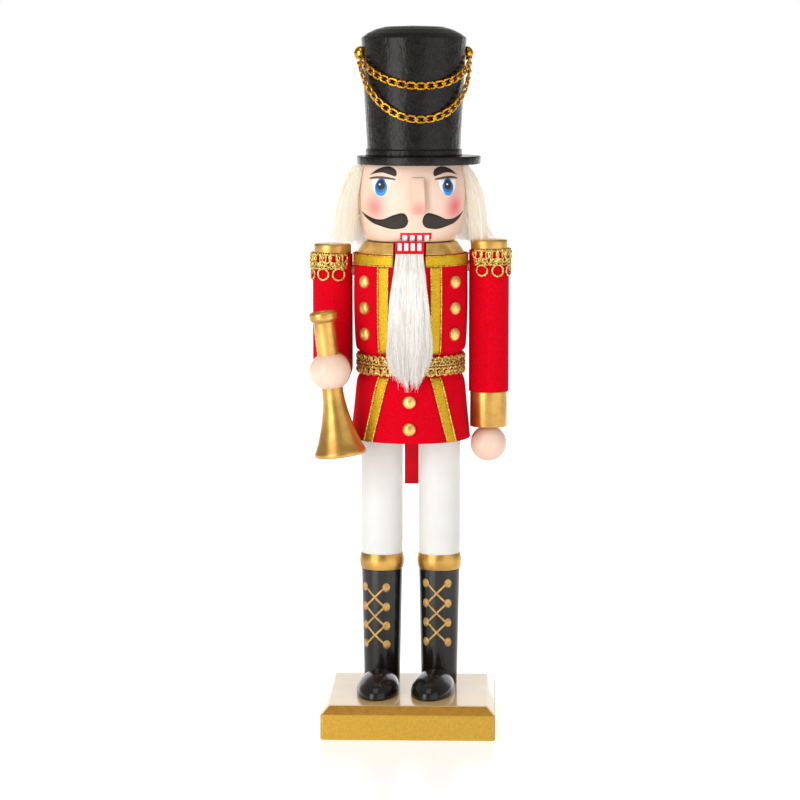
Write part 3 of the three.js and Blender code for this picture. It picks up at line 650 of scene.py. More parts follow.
def make_chain(name, route, body):
    """Broad links that lie flat on the crown, joined by small upright ones."""
    length = distance_along(route)
    count = 2 * int(length[-1] / CHAIN["pitch"]) + 1
    stations = np.linspace(CHAIN["end_gap"], length[-1] - CHAIN["end_gap"], count)
    broad = link_mesh(CHAIN["long"], CHAIN["width"], CHAIN["wire"])
    small = link_mesh(**SMALL_LINK)
    parts = []
    for i, s in enumerate(stations):
        point = at_distance(s, length, route)
        ahead = at_distance(min(s + 1, length[-1]), length, route)
        behind = at_distance(max(s - 1, 0), length, route)
        along = (ahead - behind) / np.linalg.norm(ahead - behind)
        out = np.array([point[0] - CROWN_MIDDLE[0], point[1] - CROWN_MIDDLE[1], 0])
        out -= along * out.dot(along)
        out /= np.linalg.norm(out)
        side = np.cross(out, along)
        tilt = math.radians(90 if i % 2 == 0 else 6 * math.sin(2.3 * i))
        flat = side * math.cos(tilt) + out * math.sin(tilt)
        basis = np.stack([along, flat, np.cross(along, flat)], 1)
        link, faces = small if i % 2 == 0 else broad
        parts.append((link @ basis.T + point, faces))
    chain = joined_piece(name + "_links", parts, CHAIN_GOLD, body, "gold_metal", name)


make_chain("chain_upper", swag_route(80, 363.5, 347.6), "figure")
make_chain("chain_lower", swag_route(85, 360.5, 329.8), "figure")


# ---------- base and legs ----------

def make_base():
    low, high = box_mm("base_block")
    across, down, ease = 4.2, 4.6, 0.7
    centre = (low + high) / 2
    half = (high - low) / 2
    rings = []
    outline = [(0.0, low[2]), (0.0, high[2] - down), (across, high[2]), (across + 8, high[2])]
    outline = rounded(outline, ease, 5)
    outline = [(0.5, low[2]), (0.0, low[2] + 0.5)] + outline[1:]
    corner_steps = 7
    for inset, z in outline:
        reach = half[:2] - inset
        round_corner = 1.6
        ring = []
        for quarter, (sx, sy) in enumerate([(1, 1), (-1, 1), (-1, -1), (1, -1)]):
            for t in np.linspace(0, math.pi / 2, corner_steps):
                a = t + quarter * math.pi / 2
                cx = centre[0] + sx * (reach[0] - round_corner) + round_corner * math.cos(a)
                cy = centre[1] + sy * (reach[1] - round_corner) + round_corner * math.sin(a)
                ring.append((cx, cy, z))
        rings.append(ring)
    count = len(rings[0])
    faces = [tuple(reversed(range(count)))] + grid_faces(len(rings), count)
    faces.append(tuple(range((len(rings) - 1) * count, len(rings) * count)))
    base = add_mesh("base", np.vstack(rings), faces, [BASE_GOLD, BASE_EDGE_SHADED_GOLD, BASE_TOP_PAINTED_REFLECTION],
                    sharp_angle=30)
    # front and back chamfers take the painted shade, the top and side chamfers the painted reflection
    for face in base.data.polygons:
        if face.center.z > (high[2] - down + 0.3) * MM:
            face.material_index = 1 if abs(face.normal.y) > 0.5 else 2
    finish_piece(base, "figure", "gold_paint", "base_block")


BOOT_TAPER = 0.867  # the boot's foot radius against its top radius


def make_leg(side):
    shaft_low, shaft_high = box_mm(f"{side}_boot_shaft")
    centre = ((shaft_low + shaft_high) / 2)[:2]
    top_r = (shaft_high[0] - shaft_low[0]) / 2
    shaft_line = [(0, shaft_low[2]), (top_r * BOOT_TAPER, shaft_low[2]), (top_r, shaft_high[2]),
                  (0, shaft_high[2])]
    shaft = turned(f"{side}_boot", rounded(shaft_line, 0.4), centre, BOOT_PAINT)
    finish_piece(shaft, "figure", "black_paint", f"{side}_boot_shaft")

    cuff_low, cuff_high = box_mm(f"{side}_boot_cuff")
    belly = (cuff_high[0] - cuff_low[0]) / 2
    edge = belly - 0.8
    swell = [(edge + (belly - edge) * math.sin(math.pi * t) ** 0.8,
              cuff_low[2] + (cuff_high[2] - cuff_low[2]) * t)
             for t in np.linspace(0, 1, 17)]
    cuff = turned(f"{side}_boot_band", [(0, cuff_low[2])] + swell + [(0, cuff_high[2])], centre, GOLD_PAINT)
    finish_piece(cuff, "figure", "gold_paint", f"{side}_boot_cuff")

    leg_low, leg_high = box_mm(f"{side}_trouser_leg")
    leg_r = (leg_high[0] - leg_low[0]) / 2
    leg_line = [(0, leg_low[2]), (leg_r - 0.25, leg_low[2]), (leg_r, leg_low[2] + 8), (leg_r, leg_high[2]),
                (0, leg_high[2])]
    leg = turned(f"{side}_trouser", leg_line, centre, WHITE_PAINT)
    finish_piece(leg, "figure", "white_paint", f"{side}_trouser_leg")
    make_shoe(side, centre)
    make_lacing(side, centre, shaft_low[2], shaft_high[2], top_r)


def make_shoe(side, centre):
    low = box_mm(f"{side}_shoe")[0]
    toe_in = {"left": -7, "right": -3}[side]
    half_wide, half_long, half_tall = 11.7, 24.5, 10.6
    ground = low[2]
    middle_z = ground + 1.2
    levels = np.concatenate([[ground], np.linspace(ground + 0.3, middle_z + half_tall, 22)])
    outline = []
    for z in levels:
        share = math.sqrt(max(0.0, 1 - ((z - middle_z) / half_tall) ** 2))
        outline.append((share, z))
    outline[0] = (outline[1][0] - 0.02, ground)
    outline[-1] = (0, levels[-1])
    points, faces = turned_mesh([(0, ground)] + outline, 64)
    points = points * (half_wide, half_long, 1) + (0, -(AXIS[1] + 7), 0)
    turn = np.array(Matrix.Rotation(math.radians(toe_in), 3, "Z"))
    points = points @ turn.T + (centre[0], centre[1], 0)
    shoe = add_mesh(f"{side}_shoe_egg", points, faces, BOOT_PAINT, sharp_angle=50)
    finish_piece(shoe, "figure", "black_paint", f"{side}_shoe")


def grid_patch(upper, lower, place, lift, across=6, steps=6):
    """Puffed paint between an upper and a lower line of (u, v) points; place maps (u, v, lift) to a point."""
    top = smooth_line(upper, steps)
    bottom = smooth_line(lower, steps)
    count = max(len(top), len(bottom))
    spread = np.linspace(0, 1, count)
    top = np.stack([np.interp(spread, np.linspace(0, 1, len(top)), top[:, k]) for k in (0, 1)], 1)
    bottom = np.stack([np.interp(spread, np.linspace(0, 1, len(bottom)), bottom[:, k]) for k in (0, 1)], 1)
    points, faces = [], []
    shares = np.linspace(0, 1, across + 1)
    for layer in (1, -1):
        for i in range(count):
            for t in shares:
                u, v = top[i] * (1 - t) + bottom[i] * t
                rim = min(i, count - 1 - i, 2) / 2
                puff = (0.35 + 0.65 * (1 - (2 * t - 1) ** 4) * rim) * lift if layer > 0 else -0.25
                points.append(place(u, v, puff))
    width = across + 1
    half = count * width
    for i in range(count - 1):
        for j in range(across):
            a, b, c, d = i * width + j, i * width + j + 1, (i + 1) * width + j + 1, (i + 1) * width + j
            faces.append((a, d, c, b))
            faces.append((half + a, half + b, half + c, half + d))
        for j, flip in ((0, False), (across, True)):
            a, d = i * width + j, (i + 1) * width + j
            faces.append((a, half + a, half + d, d) if not flip else (a, d, half + d, half + a))
    for i, flip in ((0, True), (count - 1, False)):
        for j in range(across):
            a, b = i * width + j, i * width + j + 1
            faces.append((a, half + a, half + b, b) if not flip else (a, b, half + b, half + a))
    return np.array(points).reshape(-1, 3), faces


def ellipse_lines(u, v, half_u, half_v):
    """The upper and lower lines of an ellipse."""
    angles = np.linspace(math.pi, 0, 13)
    upper = [(u + half_u * math.cos(a), v + half_v * math.sin(a)) for a in angles]
    lower = [(u + half_u * math.cos(a), v - half_v * math.sin(a)) for a in angles]
    return upper, lower


def stripe_lines(start, end, half_width):
    """The two sides of a straight stroke."""
    a, b = np.array(start, float), np.array(end, float)
    along = (b - a) / np.linalg.norm(b - a)
    side = np.array([-along[1], along[0]]) * half_width
    middle = (a + b) / 2
    return [a + side, middle + side, b + side], [a - side, middle - side, b - side]


def make_lacing(side, centre, low_z, high_z, top_r):
    """Painted gold lacing: three crosses between four rows of dots."""
    def place(u, v, lift):
        radius = top_r * (BOOT_TAPER + (1 - BOOT_TAPER) * (v - low_z) / (high_z - low_z)) + lift
        x, y = around(radius, math.degrees(u / radius) + LACE_ANGLE[side], centre)
        return (x, y, v)

    rows = high_z - np.array(LACE_ROWS[side])
    strokes = []
    for upper, lower in zip(rows, rows[1:]):
        reach = 5.6
        for sign in (-1, 1):
            strokes.append(stripe_lines((-reach * sign, upper), (reach * sign, lower), 0.55))
    for z in rows:
        for sign in (-1, 1):
            strokes.append(ellipse_lines(sign * 6.6, z, 2.1, 2.5))
    parts = [grid_patch(a, b, place, 0.22, 4, 3) for a, b in strokes]
    joined_piece(f"{side}_boot_lacing", parts, LACE_GOLD, "figure", "gold_paint")


LACE_ANGLE = {"right": -20, "left": -7}
LACE_ROWS = {"right": (9.6, 20.5, 31.1, 41.6), "left": (7.2, 18.4, 29.2, 40.2)}

make_base()
for each_side in ("left", "right"):
    make_leg(each_side)


# ---------- felt coat ----------

COAT_LOW, COAT_HIGH = box_mm("coat_body")
COAT_R = (COAT_HIGH[0] - COAT_LOW[0]) / 2
SKIRT_LOW, SKIRT_HIGH = box_mm("coat_skirt")
HEM_R = (SKIRT_HIGH[0] - SKIRT_LOW[0]) / 2
BELT_LOW, BELT_HIGH = box_mm("belt_braid")
FELT_THICK, SLEEVE_THICK = 1.6, 1.5
JAW_GAP, TAIL_GAP = 8.8, 4.9  # half widths of the slots in front and behind
JAW_GAP_FOOT = 238.8
WAIST_R = COAT_R - 3
COAT_LINE = smooth_line([(WAIST_R, COAT_LOW[2]), (WAIST_R, COAT_LOW[2] + 6.5),
                         (COAT_R - 0.9, COAT_LOW[2] + 10.5),
                         (COAT_R, COAT_LOW[2] + 33), (COAT_R - 0.2, COAT_LOW[2] + 53),
                         (COAT_R - 0.5, COAT_HIGH[2])], 8)
SKIRT_LINE = smooth_line([(HEM_R, SKIRT_LOW[2]), (HEM_R - 1.7, SKIRT_LOW[2] + 16),
                          (HEM_R - 3.2, SKIRT_LOW[2] + 31),
                          (WAIST_R, SKIRT_LOW[2] + 35.2), (WAIST_R, SKIRT_HIGH[2])], 8)


def coat_radius(z):
    return np.interp(z, COAT_LINE[:, 1], COAT_LINE[:, 0])


def skirt_radius(z):
    return np.interp(z, SKIRT_LINE[:, 1], SKIRT_LINE[:, 0])


def hem_wave(angle, z):
    """The skirt's free cloth is a little out of round towards its hem."""
    share = np.clip((SKIRT_LOW[2] + 26 - z) / 26, 0, 1)
    turn = np.radians(angle)
    return share * (0.28 * np.sin(3 * turn + 0.6) + 0.16 * np.sin(7 * turn + 1.9))


def wrap_sheet(name, angles, levels, radius, keep, wave=None):
    """A felt sheet right round the figure; keep says which of its cells are cloth."""
    rows = [level_ring(radius(z) + (wave(angles, z) if wave else 0), angles, z) for z in levels]
    points, faces = sheet_mesh(rows, FELT_THICK, True, keep)
    return add_mesh(name, points, faces, FELT, sharp_angle=60)


def make_coat():
    jaw_angle = math.degrees(math.asin(JAW_GAP / COAT_R))
    tail_angle = 180 - math.degrees(math.asin(TAIL_GAP / COAT_R))
    angles = np.concatenate([np.linspace(-jaw_angle, jaw_angle, 10),
                             np.linspace(jaw_angle, tail_angle, 70)[1:],
                             np.linspace(tail_angle, 360 - tail_angle, 8)[1:],
                             np.linspace(360 - tail_angle, 360 - jaw_angle, 70)[1:-1]])
    slot_z = JAW_GAP_FOOT
    tail_low, tail_high = 223.0, 249.5
    levels = np.array(sorted(set(np.round(np.linspace(COAT_LOW[2], COAT_HIGH[2], 46), 2))
                             | {slot_z, tail_low, tail_high}))
    middle = np.append(angles, 360 - jaw_angle)

    def keep(i, j):
        z = (levels[i] + levels[i + 1]) / 2
        a = (middle[j] + middle[j + 1]) / 2
        in_front = z > slot_z and a < jaw_angle
        in_back = tail_low < z < tail_high and tail_angle < a < 360 - tail_angle
        return not in_front and not in_back

    coat = wrap_sheet("coat", angles, levels, coat_radius, keep)
    finish_piece(coat, "figure", "red_felt", "coat_body")
    angles = np.linspace(0, 360, 180, endpoint=False)
    levels = np.linspace(SKIRT_LOW[2], SKIRT_HIGH[2], 40)
    skirt = wrap_sheet("skirt", angles, levels, skirt_radius, None, hem_wave)
    finish_piece(skirt, "figure", "red_felt", "coat_skirt")


make_coat()


# ---------- ribbons, braid and buttons ----------

RIBBON_HALF, RIBBON_THICK, RIBBON_LIFT = 3.0, 0.45, 0.5


def ribbon_rows(line_a, line_b, out, across=8):
    """Rows of points across a band between two edge lines; out is its outward side at each point."""
    a, b = np.asarray(line_a), np.asarray(line_b)
    shares = np.linspace(0, 1, across + 1)
    rows = a[:, None] * (1 - shares)[None, :, None] + b[:, None] * shares[None, :, None]
    crown = 0.18 * np.sin(np.pi * shares)
    rows = rows + out[:, None] * crown[None, :, None]
    return rows


def twisted_edge(line, out, radius=0.42, pitch=1.1):
    """A glittering edge thread: a small tube that wobbles like a twisted yarn."""
    length = distance_along(line)
    count = max(8, int(length[-1] / 0.28))
    s = np.linspace(0, length[-1], count)
    swell = radius * (0.8 + 0.35 * np.abs(np.sin(math.pi * s / pitch)))
    return swept_tube(at_distance(s, length, line) + at_distance(s, length, out) * radius * 0.6, swell, 6)


def edged_ribbon(name, rows, edges, out, node, thread_radius=0.42):
    """A ribbon's band with a glittering thread along each edge."""
    band = sheet_mesh(rows, RIBBON_THICK)
    points, faces = joined([band] + [twisted_edge(edge, out, thread_radius) for edge in edges])
    ribbon = add_mesh(name, points, faces, [RIBBON, GLITTER])
    index = [0] * len(band[1]) + [1] * (len(ribbon.data.polygons) - len(band[1]))
    ribbon.data.polygons.foreach_set("material_index", index)
    finish_piece(ribbon, "figure", "gold_ribbon", node)


def make_ribbon(name, middle_angle, levels, radius, node, wave=None):
    """A ribbon up the front: middle_angle(z) is its centre line on the cloth."""
    edges = []
    for sign in (-1, 1):
        line = []
        for z in levels:
            r = radius(z)
            angle = middle_angle(z) + math.degrees(sign * RIBBON_HALF / r)
            swell = r + RIBBON_LIFT + (wave(angle, z) if wave else 0)
            x, y = around(swell, angle)
            line.append((x, y, z))
        edges.append(np.array(line))
    out = np.array([(*(np.array(around(1, middle_angle(z))) - AXIS), 0) for z in levels])
    edged_ribbon(name, ribbon_rows(edges[0], edges[1], out), edges, out, node)


def make_ribbons():
    for side, sign in (("left", 1), ("right", -1)):
        levels = np.linspace(BELT_HIGH[2] + 0.2, 251, 40)
        make_ribbon(f"{side}_lapel", lambda z: sign * 27, levels, coat_radius, f"{side}_lapel_ribbon")
        low, high = SKIRT_LOW[2] + 0.2, BELT_LOW[2]
        levels = np.linspace(low, high, 30)
        make_ribbon(f"{side}_skirt_band", lambda z: sign * (43 - 14 * (z - low) / (high - low)), levels,
                    skirt_radius, f"{side}_skirt_ribbon", hem_wave)


def make_collar_ribbon():
    low, high = box_mm("collar_ribbon")
    radius = (high[0] - low[0]) / 2 - 0.1
    gap = math.degrees(math.asin(8.9 / radius))
    angles = np.linspace(gap, 360 - gap, 150)
    edges = [level_ring(radius, angles, z) for z in (low[2] + 0.3, high[2] - 0.3)]
    out = np.stack([np.sin(np.radians(angles)), -np.cos(np.radians(angles)), np.zeros(len(angles))], -1)
    rows = ribbon_rows(edges[0], edges[1], out * 0.1)
    edged_ribbon("collar_band", rows[:, ::-1], edges, out, "collar_ribbon", 0.28)


def wrapped_wire(path, wire, closed=False):
    """A cord wrapped in metal thread: its thickness comes and goes along it."""
    count = len(path)
    swell = wire * (0.86 + 0.28 * (np.arange(count) % 2))
    return swept_tube(path, swell, 6, closed)


def looped_thread(radius, centre, start, end, z, amplitude, loops, wire, phase=0.0, swing=1.0):
    """A thread that runs round an upright axis in small curls; a negative amplitude turns the curls over."""
    t = np.linspace(0, 1, int(loops * 18))
    phi = 2 * math.pi * loops * t + phase
    angle = start + (end - start) * t + np.degrees(swing * amplitude * np.cos(phi) / radius)
    height = z + amplitude * np.sin(phi)
    x, y = around(radius + 0.25 * np.sin(phi * 0.5), angle, centre)
    return wrapped_wire(np.stack([x, y, height], -1), wire)


def ring_row(radius, centre, start, end, z, ring_r, wire, pitch, seed, shape=1.0):
    """Rings of wrapped cord side by side round an upright axis, each a little different."""
    rng = np.random.default_rng(seed)
    count = max(1, round(math.radians(end - start) * radius / pitch))
    turn = np.linspace(0, 2 * math.pi, 20, endpoint=False)
    parts = []
    for i in range(count):
        middle = start + (end - start) * (i + 0.5) / count
        size = ring_r * rng.uniform(0.94, 1.06)
        drop = rng.uniform(-0.15, 0.15)
        lean = rng.uniform(-0.25, 0.35)
        x, y = around(radius + lean * np.sin(turn), middle + np.degrees(size * np.cos(turn) / radius), centre)
        parts.append(wrapped_wire(np.stack([x, y, z + drop + shape * size * np.sin(turn)], -1), wire, True))
    return parts


def make_belt():
    radius = WAIST_R + 0.8
    middle = (BELT_LOW[2] + BELT_HIGH[2]) / 2
    parts = []
    for sign in (-1, 1):
        parts += ring_row(radius, AXIS, 0, 360, middle + sign * 3.1, 2.05, 0.5, 4.7, 5 + sign)
        parts.append(looped_thread(radius + 0.5, AXIS, 0, 360, middle + sign * 3.5, 1.0, 80, 0.36,
                                   sign * 0.7))
        parts.append(looped_thread(radius + 0.45, AXIS, 0, 360, middle + sign * 0.75, 0.35, 90, 0.42, 0.4))
    joined_piece("belt_gimp", parts, BRAID, "figure", "gold_braid", "belt_braid")


def make_button(name, centre_angle, z, radius, node, lean=0.0):
    x, y = around(radius, centre_angle)
    outline = rounded([(0, -0.6), (3.3, -0.6), (3.55, 0.0), (3.5, 0.7)], 0.3, 3)
    dome = [(3.5 * math.cos(a), 0.7 + 1.95 * math.sin(a)) for a in np.linspace(0.12, math.pi / 2, 12)]
    outline += dome[:-1] + [(0, 2.65)]
    place = (Matrix.Translation((x, y, z)) @ Matrix.Rotation(math.radians(centre_angle), 4, "Z")
             @ Matrix.Rotation(math.radians(90 - lean), 4, "X"))
    stud = turned(name, outline, None, BUTTON_GOLD, 40, place)
    finish_piece(stud, "figure", "gold_metal", node)


def make_buttons():
    for side in ("left", "right"):
        for row in (1, 2, 3):
            node = f"{side}_chest_button_{row}"
            place = middle_of(node)
            angle = math.degrees(math.atan2(place[0] - AXIS[0], AXIS[1] - place[1]))
            make_button(f"{side}_chest_stud_{row}", angle, place[2], coat_radius(place[2]) + 0.2, node)
    for row in (1, 2):
        node = f"skirt_button_{row}"
        z = middle_of(node)[2]
        make_button(f"skirt_stud_{row}", 0, z, skirt_radius(z) + 0.2, node, 5.5)


def make_gold_collar():
    """The gold shoulder of the torso, open in front for the jaw."""
    low, high = box_mm("gold_collar")
    outer = (high[0] - low[0]) / 2
    outline = [(outer - 5.5, low[2]), (outer, low[2]), (outer, low[2] + 0.4), (outer - 4.2, high[2]),
               (outer - 5.8, high[2])]
    share = np.linspace(0, 1, 160)
    rings = []
    for r, z in rounded(outline, 0.5):
        gap = math.degrees(math.asin(JAW_GAP / r))
        rings.append(level_ring(r, gap + share * (360 - 2 * gap), z))
    count = len(share)
    n = len(rings)
    faces = grid_faces(n, count, True, False)
    faces.append(tuple(i * count for i in range(n)))
    faces.append(tuple(i * count + count - 1 for i in reversed(range(n))))
    collar = add_mesh("collar", np.vstack(rings), faces, COLLAR_GOLD, sharp_angle=40)
    finish_piece(collar, "figure", "gold_paint", "gold_collar")


make_ribbons()
make_collar_ribbon()
make_belt()
make_buttons()
make_gold_collar()


# ---------- head, face and hat ----------

def make_head():
    outline = [(0, HEAD_LOW[2])] + [tuple(q) for q in HEAD_LINE] + [(0, HEAD_HIGH[2])]
    head = turned("head", outline, AXIS, SKIN, 128)
    finish_piece(head, "figure", "skin_paint", "head_block")

    low, high = box_mm("nose")
    half = 3.45
    lines = []
    for u in (-half, -half + 0.5, 0, half - 0.5, half):
        drop = 0.5 if abs(u) == half else 0.0
        profile = [(head_radius(high[2]) - 0.8, high[2] + 0.8), (head_radius(high[2]) + 1.3 - drop, high[2]),
                   (35.2 - drop, low[2] + 1.2), (35.3 - drop, low[2] + 0.5), (34.9 - drop, low[2] + 0.1),
                   (head_radius(low[2]) - 0.8, low[2])]
        for r, z in profile:
            x, y = around(r, NOSE_ANGLE + math.degrees(u / r))
            lines.append((x, y, z))
    steps = 6
    faces = []
    for i in range(4):
        for j in range(steps - 1):
            faces.append((i * steps + j, (i + 1) * steps + j, (i + 1) * steps + j + 1, i * steps + j + 1))
        faces.append((i * steps + steps - 1, (i + 1) * steps + steps - 1, (i + 1) * steps, i * steps))
    faces.append(tuple(range(steps)))
    faces.append(tuple(reversed(range(4 * steps, 5 * steps))))
    nose = add_mesh("nose_wedge", lines, faces, SKIN, sharp_angle=35)
    finish_piece(nose, "figure", "skin_paint", "nose")


def paint_on_head(name, strokes, material, lift=0.16, slot="black_paint"):
    parts = [grid_patch(a, b, lambda u, v, puff: on_head(u, v, puff), lift) for a, b in strokes]
    joined_piece(name, parts, material, "figure", slot)


def both(lines):
    """The stroke and its mirror image on the other side of the face."""
    upper, lower = lines
    flipped = [(-u, v) for u, v in upper][::-1], [(-u, v) for u, v in lower][::-1]
    return [lines, flipped]


def make_face():
    z = HEAD_LOW[2]
    brow = ([(20, z + 37.6), (21.5, z + 39.4), (26, z + 40.9), (34, z + 41.3), (45, z + 39.7),
             (54.5, z + 36.7)],
            [(20, z + 37.4), (21.5, z + 36.2), (27, z + 36.9), (36, z + 38.0), (45.3, z + 37.7),
             (54.5, z + 36.6)])
    whisker = ([(69.5, z + 16.8), (61, z + 15.2), (48, z + 13.3), (36.5, z + 13.1), (25, z + 15.2),
                (14.5, z + 16.6), (9.4, z + 15.2), (7.6, z + 12.3)],
               [(69.5, z + 16.6), (62, z + 13.6), (52, z + 11.0), (44, z + 9.8), (27.3, z + 7.9),
                (14.2, z + 8.4), (9.2, z + 10.0), (7.6, z + 12.2)])
    lid = ([(21.5, z + 34.9), (30, z + 35.7), (38, z + 36.1), (46, z + 35.9), (54, z + 35.2)],
           [(21.5, z + 34.2), (30, z + 34.6), (38, z + 34.85), (46, z + 34.8), (54, z + 34.4)])
    white = ([(25.5, z + 34.2), (31, z + 34.6), (38, z + 34.8), (45, z + 34.7), (50.5, z + 34.3)],
             [(25.5, z + 33.8), (28.6, z + 28.9), (38, z + 25.1), (47.2, z + 28.9), (50.5, z + 33.8)])
    eye_z = z + 30.3
    rim = ellipse_lines(EYE_ANGLE, eye_z - 0.1, 7.7, 4.7)
    iris = ellipse_lines(EYE_ANGLE, eye_z + 0.4, 6.7, 4.0)
    pupil = ellipse_lines(EYE_ANGLE - 0.4, eye_z + 0.9, 4.7, 2.95)
    paint_on_head("eye_whites", both(white), FACE_WHITE, 0.08, "white_paint")
    paint_on_head("iris_rims", both(rim), FACE_LIGHT_BLUE, 0.13)
    paint_on_head("irises", both(iris), FACE_BLUE, 0.19)
    paint_on_head("pupils", both(pupil), FACE_BLACK, 0.25)
    glints = [ellipse_lines(sign * EYE_ANGLE - 1.4, eye_z + 1.5, 1.2, 0.7) for sign in (-1, 1)]
    paint_on_head("eye_glints", glints, FACE_WHITE, 0.31, "white_paint")
    paint_on_head("eyelids", both(lid), LID_BROWN, 0.3)
    paint_on_head("brows", both(brow), FACE_BLACK, 0.16)
    paint_on_head("moustache", both(whisker), FACE_BLACK, 0.22)
    make_upper_teeth(z)


def tooth_strokes(left, right, low, high, count, bar):
    """Upright teeth between bars: their (upper, lower) lines."""
    width = (right - left - bar * (count + 1)) / count
    strokes = []
    for i in range(count):
        a = left + bar + i * (width + bar)
        strokes.append(([(a, high), (a + width / 2, high), (a + width, high)],
                        [(a, low), (a + width / 2, low), (a + width, low)]))
    return strokes


def make_upper_teeth(z):
    """Red gum and four teeth, square to the mouth: u is in millimetres along the head here."""
    middle = 1.3
    half = 8.6

    def place(u, v, lift):
        return on_head(middle + math.degrees(u / head_radius(v)), v, lift)

    def lines(left, right, low, high):
        return ([(u, high) for u in np.linspace(left, right, 5)],
                [(u, low) for u in np.linspace(left, right, 5)])

    for name, strokes, material, lift, slot in (
            ("upper_gum", [lines(-half, half, z + 0.25, z + 5.9)], FACE_RED, 0.12, "red_paint"),
            ("upper_teeth", tooth_strokes(-half, half, z + 0.35, z + 4.7, 4, 1.35), FACE_WHITE, 0.26,
             "white_paint")):
        parts = [grid_patch(a, b, place, lift, 5, 3) for a, b in strokes]
        joined_piece(name, parts, material, "figure", slot)


def make_hat():
    turned_disc("brim", "hat_brim", middle_of("hat_brim")[:2], 0.7, BLACK_PAINT, "figure", "black_paint", 128)
    foot, top = CROWN_LOW[2], CROWN_HIGH[2]
    rim_r = (CROWN_HIGH[0] - CROWN_LOW[0]) / 2
    band_r, band_z = 26.3, foot + 3.2
    line = [(0, foot), (band_r, foot), (band_r, band_z), (float(crown_radius(band_z)), band_z + 0.5),
            (rim_r, top - 6.6), (rim_r - 3.2, top - 4.2), (rim_r - 7.5, top - 2.1), (rim_r - 13, top - 0.6),
            (0, top)]
    crown = turned("crown", rounded(line, 0.3, 5), CROWN_MIDDLE, BLACK_PAINT, 144, sharp_angle=25)
    finish_piece(crown, "figure", "black_paint", "hat_crown")
    for side, sign in (("left", 1), ("right", -1)):
        node = f"{side}_chain_knob"
        tack_r = (box_mm(node)[1][2] - box_mm(node)[0][2]) / 2
        seat = float(crown_radius(KNOB_Z + tack_r)) + 0.1
        tall = 4.2
        line = [(0, seat - 1), (1.1, seat - 1), (1.1, seat), (tack_r - 0.4, seat), (tack_r, seat + 0.4)]
        line += [(tack_r * math.cos(a), seat + 0.4 + (tall - 0.4) * math.sin(a))
                 for a in np.linspace(0, math.pi / 2, 14)[1:]]
        line[-1] = (0, seat + tall)
        place = (Matrix.Translation((CROWN_MIDDLE[0], CROWN_MIDDLE[1], KNOB_Z))
                 @ Matrix.Rotation(math.radians(HEAD_TURN + (0 if sign > 0 else 180)), 4, "Z")
                 @ Matrix.Rotation(math.radians(90), 4, "Y"))
        knob = turned(f"{side}_knob", line, None, CHAIN_GOLD, 32, place)
        finish_piece(knob, "figure", "gold_metal", node)


make_head()
make_face()
make_hat()


# ---------- jaw ----------

def make_jaw():
    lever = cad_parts["jaw_lever"]
    lever.material_slots[0].material = RED_PAINT
    soften = lever.modifiers.new("eased_edges", "BEVEL")
    soften.width = 0.5 * MM
    soften.segments = 2
    soften.limit_method = "ANGLE"
    low, high = box_mm("jaw_lever")
    front = low[1]
    half = (high[0] - low[0]) / 2

    def place(u, v, lift):
        return (u, front - lift, v)

    lip_top = high[2] + 1.3
    outline = [(front - 0.1, high[2] - 2), (front - 0.1, lip_top - 0.3), (front + 0.2, lip_top),
               (front + 1.3, lip_top), (front + 1.6, lip_top - 0.3), (front + 1.6, high[2] - 2)]
    sides = [[(u, y, v) for y, v in outline] for u in (-half, half)]
    count = len(outline)
    faces = [(i, i + count, (i + 1) % count + count, (i + 1) % count) for i in range(count)]
    faces += [tuple(range(count)), tuple(reversed(range(count, 2 * count)))]
    finish_piece(add_mesh("lower_lip", sides[0] + sides[1], faces, RED_PAINT, smooth=False), "jaw",
                 "red_paint")

    teeth = tooth_strokes(-half + 0.2, half - 0.2, high[2] - 3.2, lip_top - 0.3, 4, 1.35)
    parts = [grid_patch(a, b, place, 0.25) for a, b in teeth]
    joined_piece("lower_teeth", parts, FACE_WHITE, "jaw", "white_paint")


make_jaw()


# ---------- arms and horn ----------

def lathe_on(name, outline, place, material, body, slot, *nodes, sides=80):
    """A finished turned piece, moved by a 4x4 place in millimetres."""
    return finish_piece(turned(name, outline, None, material, sides, place), body, slot, *nodes)


def make_arm_top(side, body):
    node = f"{side}_shoulder_cap"
    turned_disc(f"{side}_cap", node, middle_of(node)[:2], 1.3, GOLD_PAINT, body, "gold_paint", pieces=6)


def make_epaulette(side, body, open_angle):
    """Looped gimp round the outer side of the arm: a close upper band and hanging loops below."""
    high = box_mm(f"{side}_epaulette")[1]
    centre = middle_of(f"{side}_shoulder_cap")[:2]
    radius = 11.0
    start, end = open_angle + 48, open_angle + 312
    arc = math.radians(end - start) * radius
    top = high[2] + 1.9
    parts = [looped_thread(radius + out, centre, start, end, top - down, tall, round(arc / pitch), *rest)
             for out, down, tall, pitch, *rest in EPAULETTE_THREADS]
    parts += ring_row(radius + 0.7, centre, start, end, top - 11.7, 3.25, 0.6, 8.9, 3, 0.95)
    joined_piece(f"{side}_epaulette_gimp", parts, BRAID, body, "gold_braid", f"{side}_epaulette")


# Each curled thread of an epaulette: how far out and how far down, height, pitch, wire, phase, swing.
EPAULETTE_THREADS = [(0.6, 0.9, 0.4, 1.5, 0.42, 0.3, 1.0), (0.5, 4.4, 3.7, 2.9, 0.46, 0.2, 0.22),
                     (0.95, 3.6, 2.0, 4.4, 0.46, 1.9, 0.8), (0.8, 6.4, 0.8, 2.2, 0.42, 0.9, 1.0),
                     (0.7, 8.3, 0.4, 1.5, 0.44, 0.9, 1.0)]


